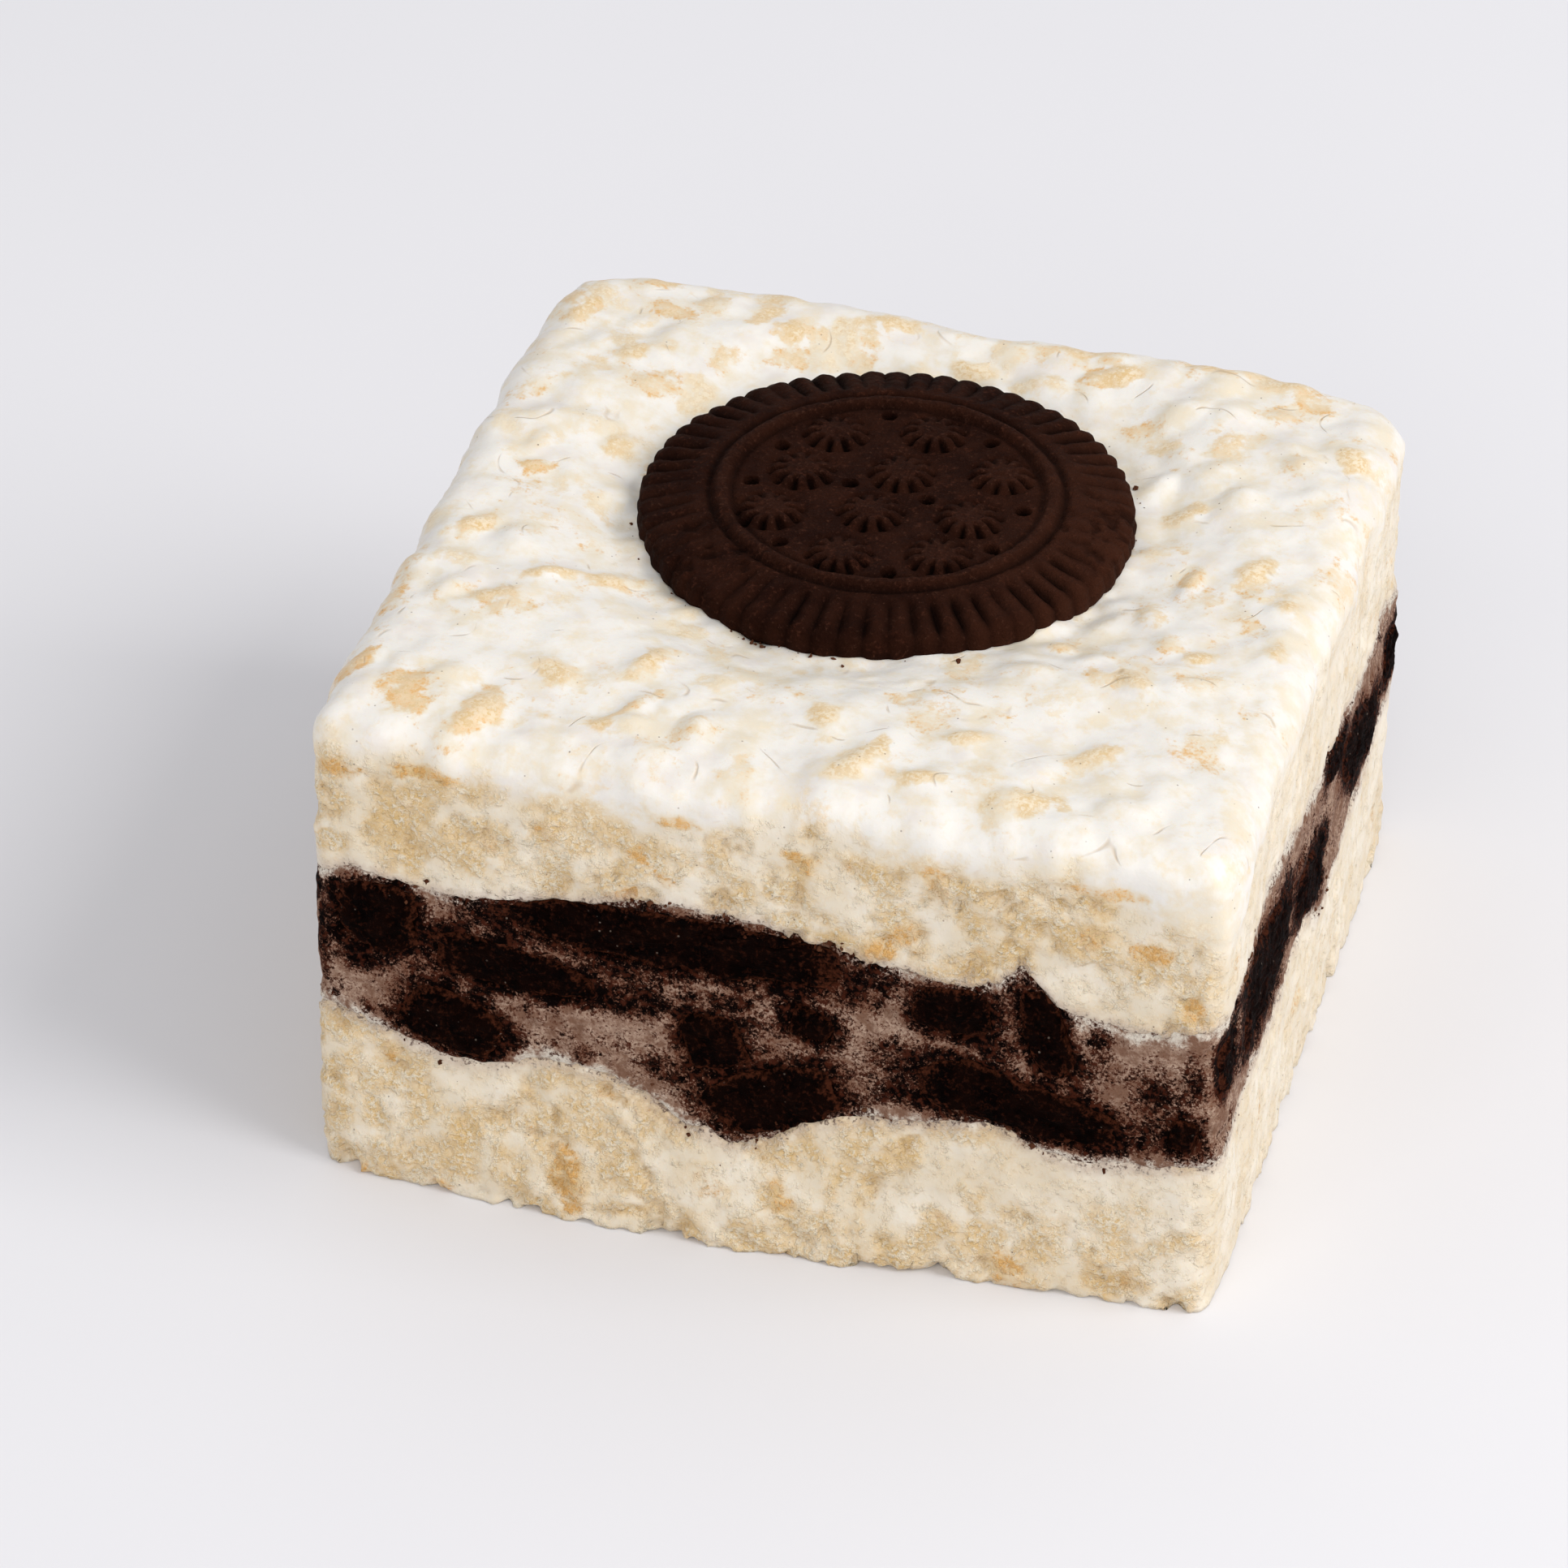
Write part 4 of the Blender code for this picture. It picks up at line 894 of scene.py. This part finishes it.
# Painted light: the wafer is painted lighter from 4 to 24 mm right of the block's middle, where
# the key light falls.
sideways = place.node("ShaderNodeSeparateXYZ", None, {"Vector": place})
painted_light_right = (sideways.between(4 * MM, 24 * MM) * 0.5).mix(floury, WAFER_LIT_RIGHT)
# Painted shade: the shade attribute darkens the grooves, notches, pocks and steam holes towards
# near black.
sunk = (place.attribute("shade") * 0.9).mix(painted_light_right, WAFER_PAINTED_SHADE)
connect(
    shader,
    {"Base Color": sunk, "Roughness": fine * 0.25 + 0.55,
     "Normal": (fine + place.noise(0.9 * MM, 2.0) * 0.8).bump(0.42 * MM)},
    {"Specular IOR Level": 0.03},
)
wafer.data.materials.append(wafer_material)
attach(wafer, "root")
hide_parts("wafer")

# The crumbs: specks of biscuit that the knife dragged out along both seams, and a few that broke
# off the wafer on to the coat. They are small angular lumps stuck to the surface.
OCTAHEDRON = np.array([(1, 0, 0), (-1, 0, 0), (0, 1, 0), (0, -1, 0), (0, 0, 1), (0, 0, -1)], float)
OCTAHEDRON_FACES = np.array([
    (4, 0, 2), (4, 2, 1), (4, 1, 3), (4, 3, 0), (5, 2, 0), (5, 1, 2), (5, 3, 1), (5, 0, 3),
])


def crumbs(name, middles, sizes, seed):
    """Lumps at these places: an octahedron with its edge middles pushed out to the sphere, and
    every corner of every copy moved at random."""
    draw = np.random.default_rng(seed)
    pairs = np.sort(np.concatenate([OCTAHEDRON_FACES[:, [0, 1]], OCTAHEDRON_FACES[:, [1, 2]],
                                    OCTAHEDRON_FACES[:, [2, 0]]]), axis=1)
    edges, index = np.unique(pairs, axis=0, return_inverse=True)
    halves = OCTAHEDRON[edges].sum(1)
    corners = np.concatenate([OCTAHEDRON, halves / np.linalg.norm(halves, axis=1, keepdims=True)])
    ab, bc, ca = index.reshape(3, -1) + 6
    a, b, c = OCTAHEDRON_FACES.T
    quarters = ((a, ab, ca), (ab, b, bc), (ca, bc, c), (ab, bc, ca))
    faces = np.concatenate([np.stack(corner, 1) for corner in quarters])
    count = len(middles)
    shape = corners * draw.uniform(0.5, 1.4, (count, 18, 1))
    shape = shape * draw.uniform(0.5, 1.4, (count, 1, 3))
    points = middles[:, None] + shape * sizes[:, None, None]
    faces = faces + 18 * np.arange(count)[:, None, None]
    mesh = bpy.data.meshes.new(name)
    mesh.from_pydata(points.reshape(-1, 3), [], faces.reshape(-1, 3).tolist())
    tint = np.repeat(draw.uniform(1.0, 1.8, count), 18)
    mesh.attributes.new("rim", "FLOAT", "POINT").data.foreach_set("value", tint)
    piece = bpy.data.objects.new(name, mesh)
    bpy.context.scene.collection.objects.link(piece)
    piece.data.materials.append(biscuit_material)
    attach(piece, "root")


draw = np.random.default_rng(121)
spot = draw.integers(0, COLUMNS, 900)
bunched = rough(np.stack([across, up, 0 * up], -1)[spot], 0.12, 124, 2)
spot = spot[bunched > 0.15]
count = len(spot)
on_high = draw.uniform(size=count) < 0.4
astray = draw.normal(0.0, 0.7, count) ** 3 * MM + draw.normal(0.0, 0.35, count) * MM
level = np.where(on_high, high_seam[spot], low_seam[spot]) + np.clip(astray, -2.5 * MM, 2.5 * MM)
seam_crumbs = cut_side(across[spot], up[spot], level)
crumbs("crumbs_at_the_seams", seam_crumbs, draw.uniform(0.2, 0.75, count) ** 3 * 0.75 * MM, 122)

turn = np.concatenate([draw.normal(-1.75, 0.10, 26), draw.uniform(0, math.tau, 34)])
reach = wafer_r + np.concatenate([draw.uniform(-0.1, 0.5, 26), draw.uniform(-0.1, 1.6, 34)]) * MM
loose = np.stack([wafer_x + reach * np.cos(turn), wafer_y + reach * np.sin(turn), 0 * turn], -1)
loose[:, 2] = coated_top(loose)[0] + 0.28 * MM
crumbs("crumbs_round_the_wafer", loose, draw.uniform(0.2, 0.7, 60) ** 3 * 0.8 * MM, 123)

# The studio: a pale lilac-grey sweep that is all floor from the camera's height, a soft key light
# high on the right, and a broad fill from everywhere else.
floor_mesh = bpy.data.meshes.new("studio_floor")
far = 6.0
corners = [(-far, -far, 0), (far, -far, 0), (far, far, 0), (-far, far, 0)]
floor_mesh.from_pydata(corners, [], [(0, 1, 2, 3)])
floor = bpy.data.objects.new("studio_floor", floor_mesh)
bpy.context.scene.collection.objects.link(floor)
floor_material, shader, place = new_material("matte_paper_sweep")
tint = place.noise(60 * MM).mix((0.80, 0.795, 0.825), (0.82, 0.815, 0.84))
connect(shader, {"Base Color": tint}, {"Roughness": 0.9, "Specular IOR Level": 0.1})
floor_mesh.materials.append(floor_material)

world = bpy.data.worlds.new("studio")
world.use_nodes = True
world.node_tree.nodes["Background"].inputs["Color"].default_value = (0.97, 0.975, 1.0, 1.0)
world.node_tree.nodes["Background"].inputs["Strength"].default_value = 0.62
bpy.context.scene.world = world


def softbox(name, place, aim, size, power, colour):
    """A square area light at a place, turned so that it shines at a point."""
    lamp = bpy.data.lights.new(name, "AREA")
    lamp.size, lamp.energy, lamp.color = size, power, colour
    obj = bpy.data.objects.new(name, lamp)
    bpy.context.scene.collection.objects.link(obj)
    away = np.array(place) - np.array(aim)
    away = away / np.linalg.norm(away)
    across_lamp = np.cross((0.0, 0.0, 1.0), away)
    across_lamp /= np.linalg.norm(across_lamp)
    turn = np.column_stack([across_lamp, np.cross(away, across_lamp), away])
    obj.matrix_world = Matrix.Translation(place) @ Matrix(turn.tolist()).to_4x4()


softbox("key_softbox", (0.88, -0.10, 0.80), (0.0, 0.0, 0.02), 0.72, 8.7, (1.0, 0.985, 0.96))
softbox("front_fill", (-0.1, -1.3, 0.8), (0.0, 0.0, 0.02), 1.0, 5.4, (1.0, 0.99, 0.975))

# The camera: a long lens from the front, right of the block's middle and about 35 degrees above
# it, turned a degree so that the far edge of the sweep lies as it does in the view.
IMAGE_SIDE = 1932
FOCAL_PIXELS = 9735.5
camera_place = np.array([141.479, -576.262, 441.506]) * MM
yaw, pitch, roll = math.radians(-14.592), math.radians(-35.229), math.radians(1.017)
forward = np.array([
    math.sin(yaw) * math.cos(pitch), math.cos(yaw) * math.cos(pitch), math.sin(pitch)
])
level_right = np.array([math.cos(yaw), -math.sin(yaw), 0.0])
level_up = np.cross(level_right, forward)
right = level_right * math.cos(roll) + level_up * math.sin(roll)
upright = level_up * math.cos(roll) - level_right * math.sin(roll)
lens = bpy.data.cameras.new("camera")
lens.sensor_width = 36.0
lens.lens = FOCAL_PIXELS / IMAGE_SIDE * lens.sensor_width
lens.clip_start = 0.01
camera = bpy.data.objects.new("camera", lens)
bpy.context.scene.collection.objects.link(camera)
turn = Matrix(np.column_stack([right, upright, -forward]).tolist()).to_4x4()
camera.matrix_world = Matrix.Translation(camera_place.tolist()) @ turn
bpy.context.scene.camera = camera
bpy.context.scene.view_settings.view_transform = "Standard"
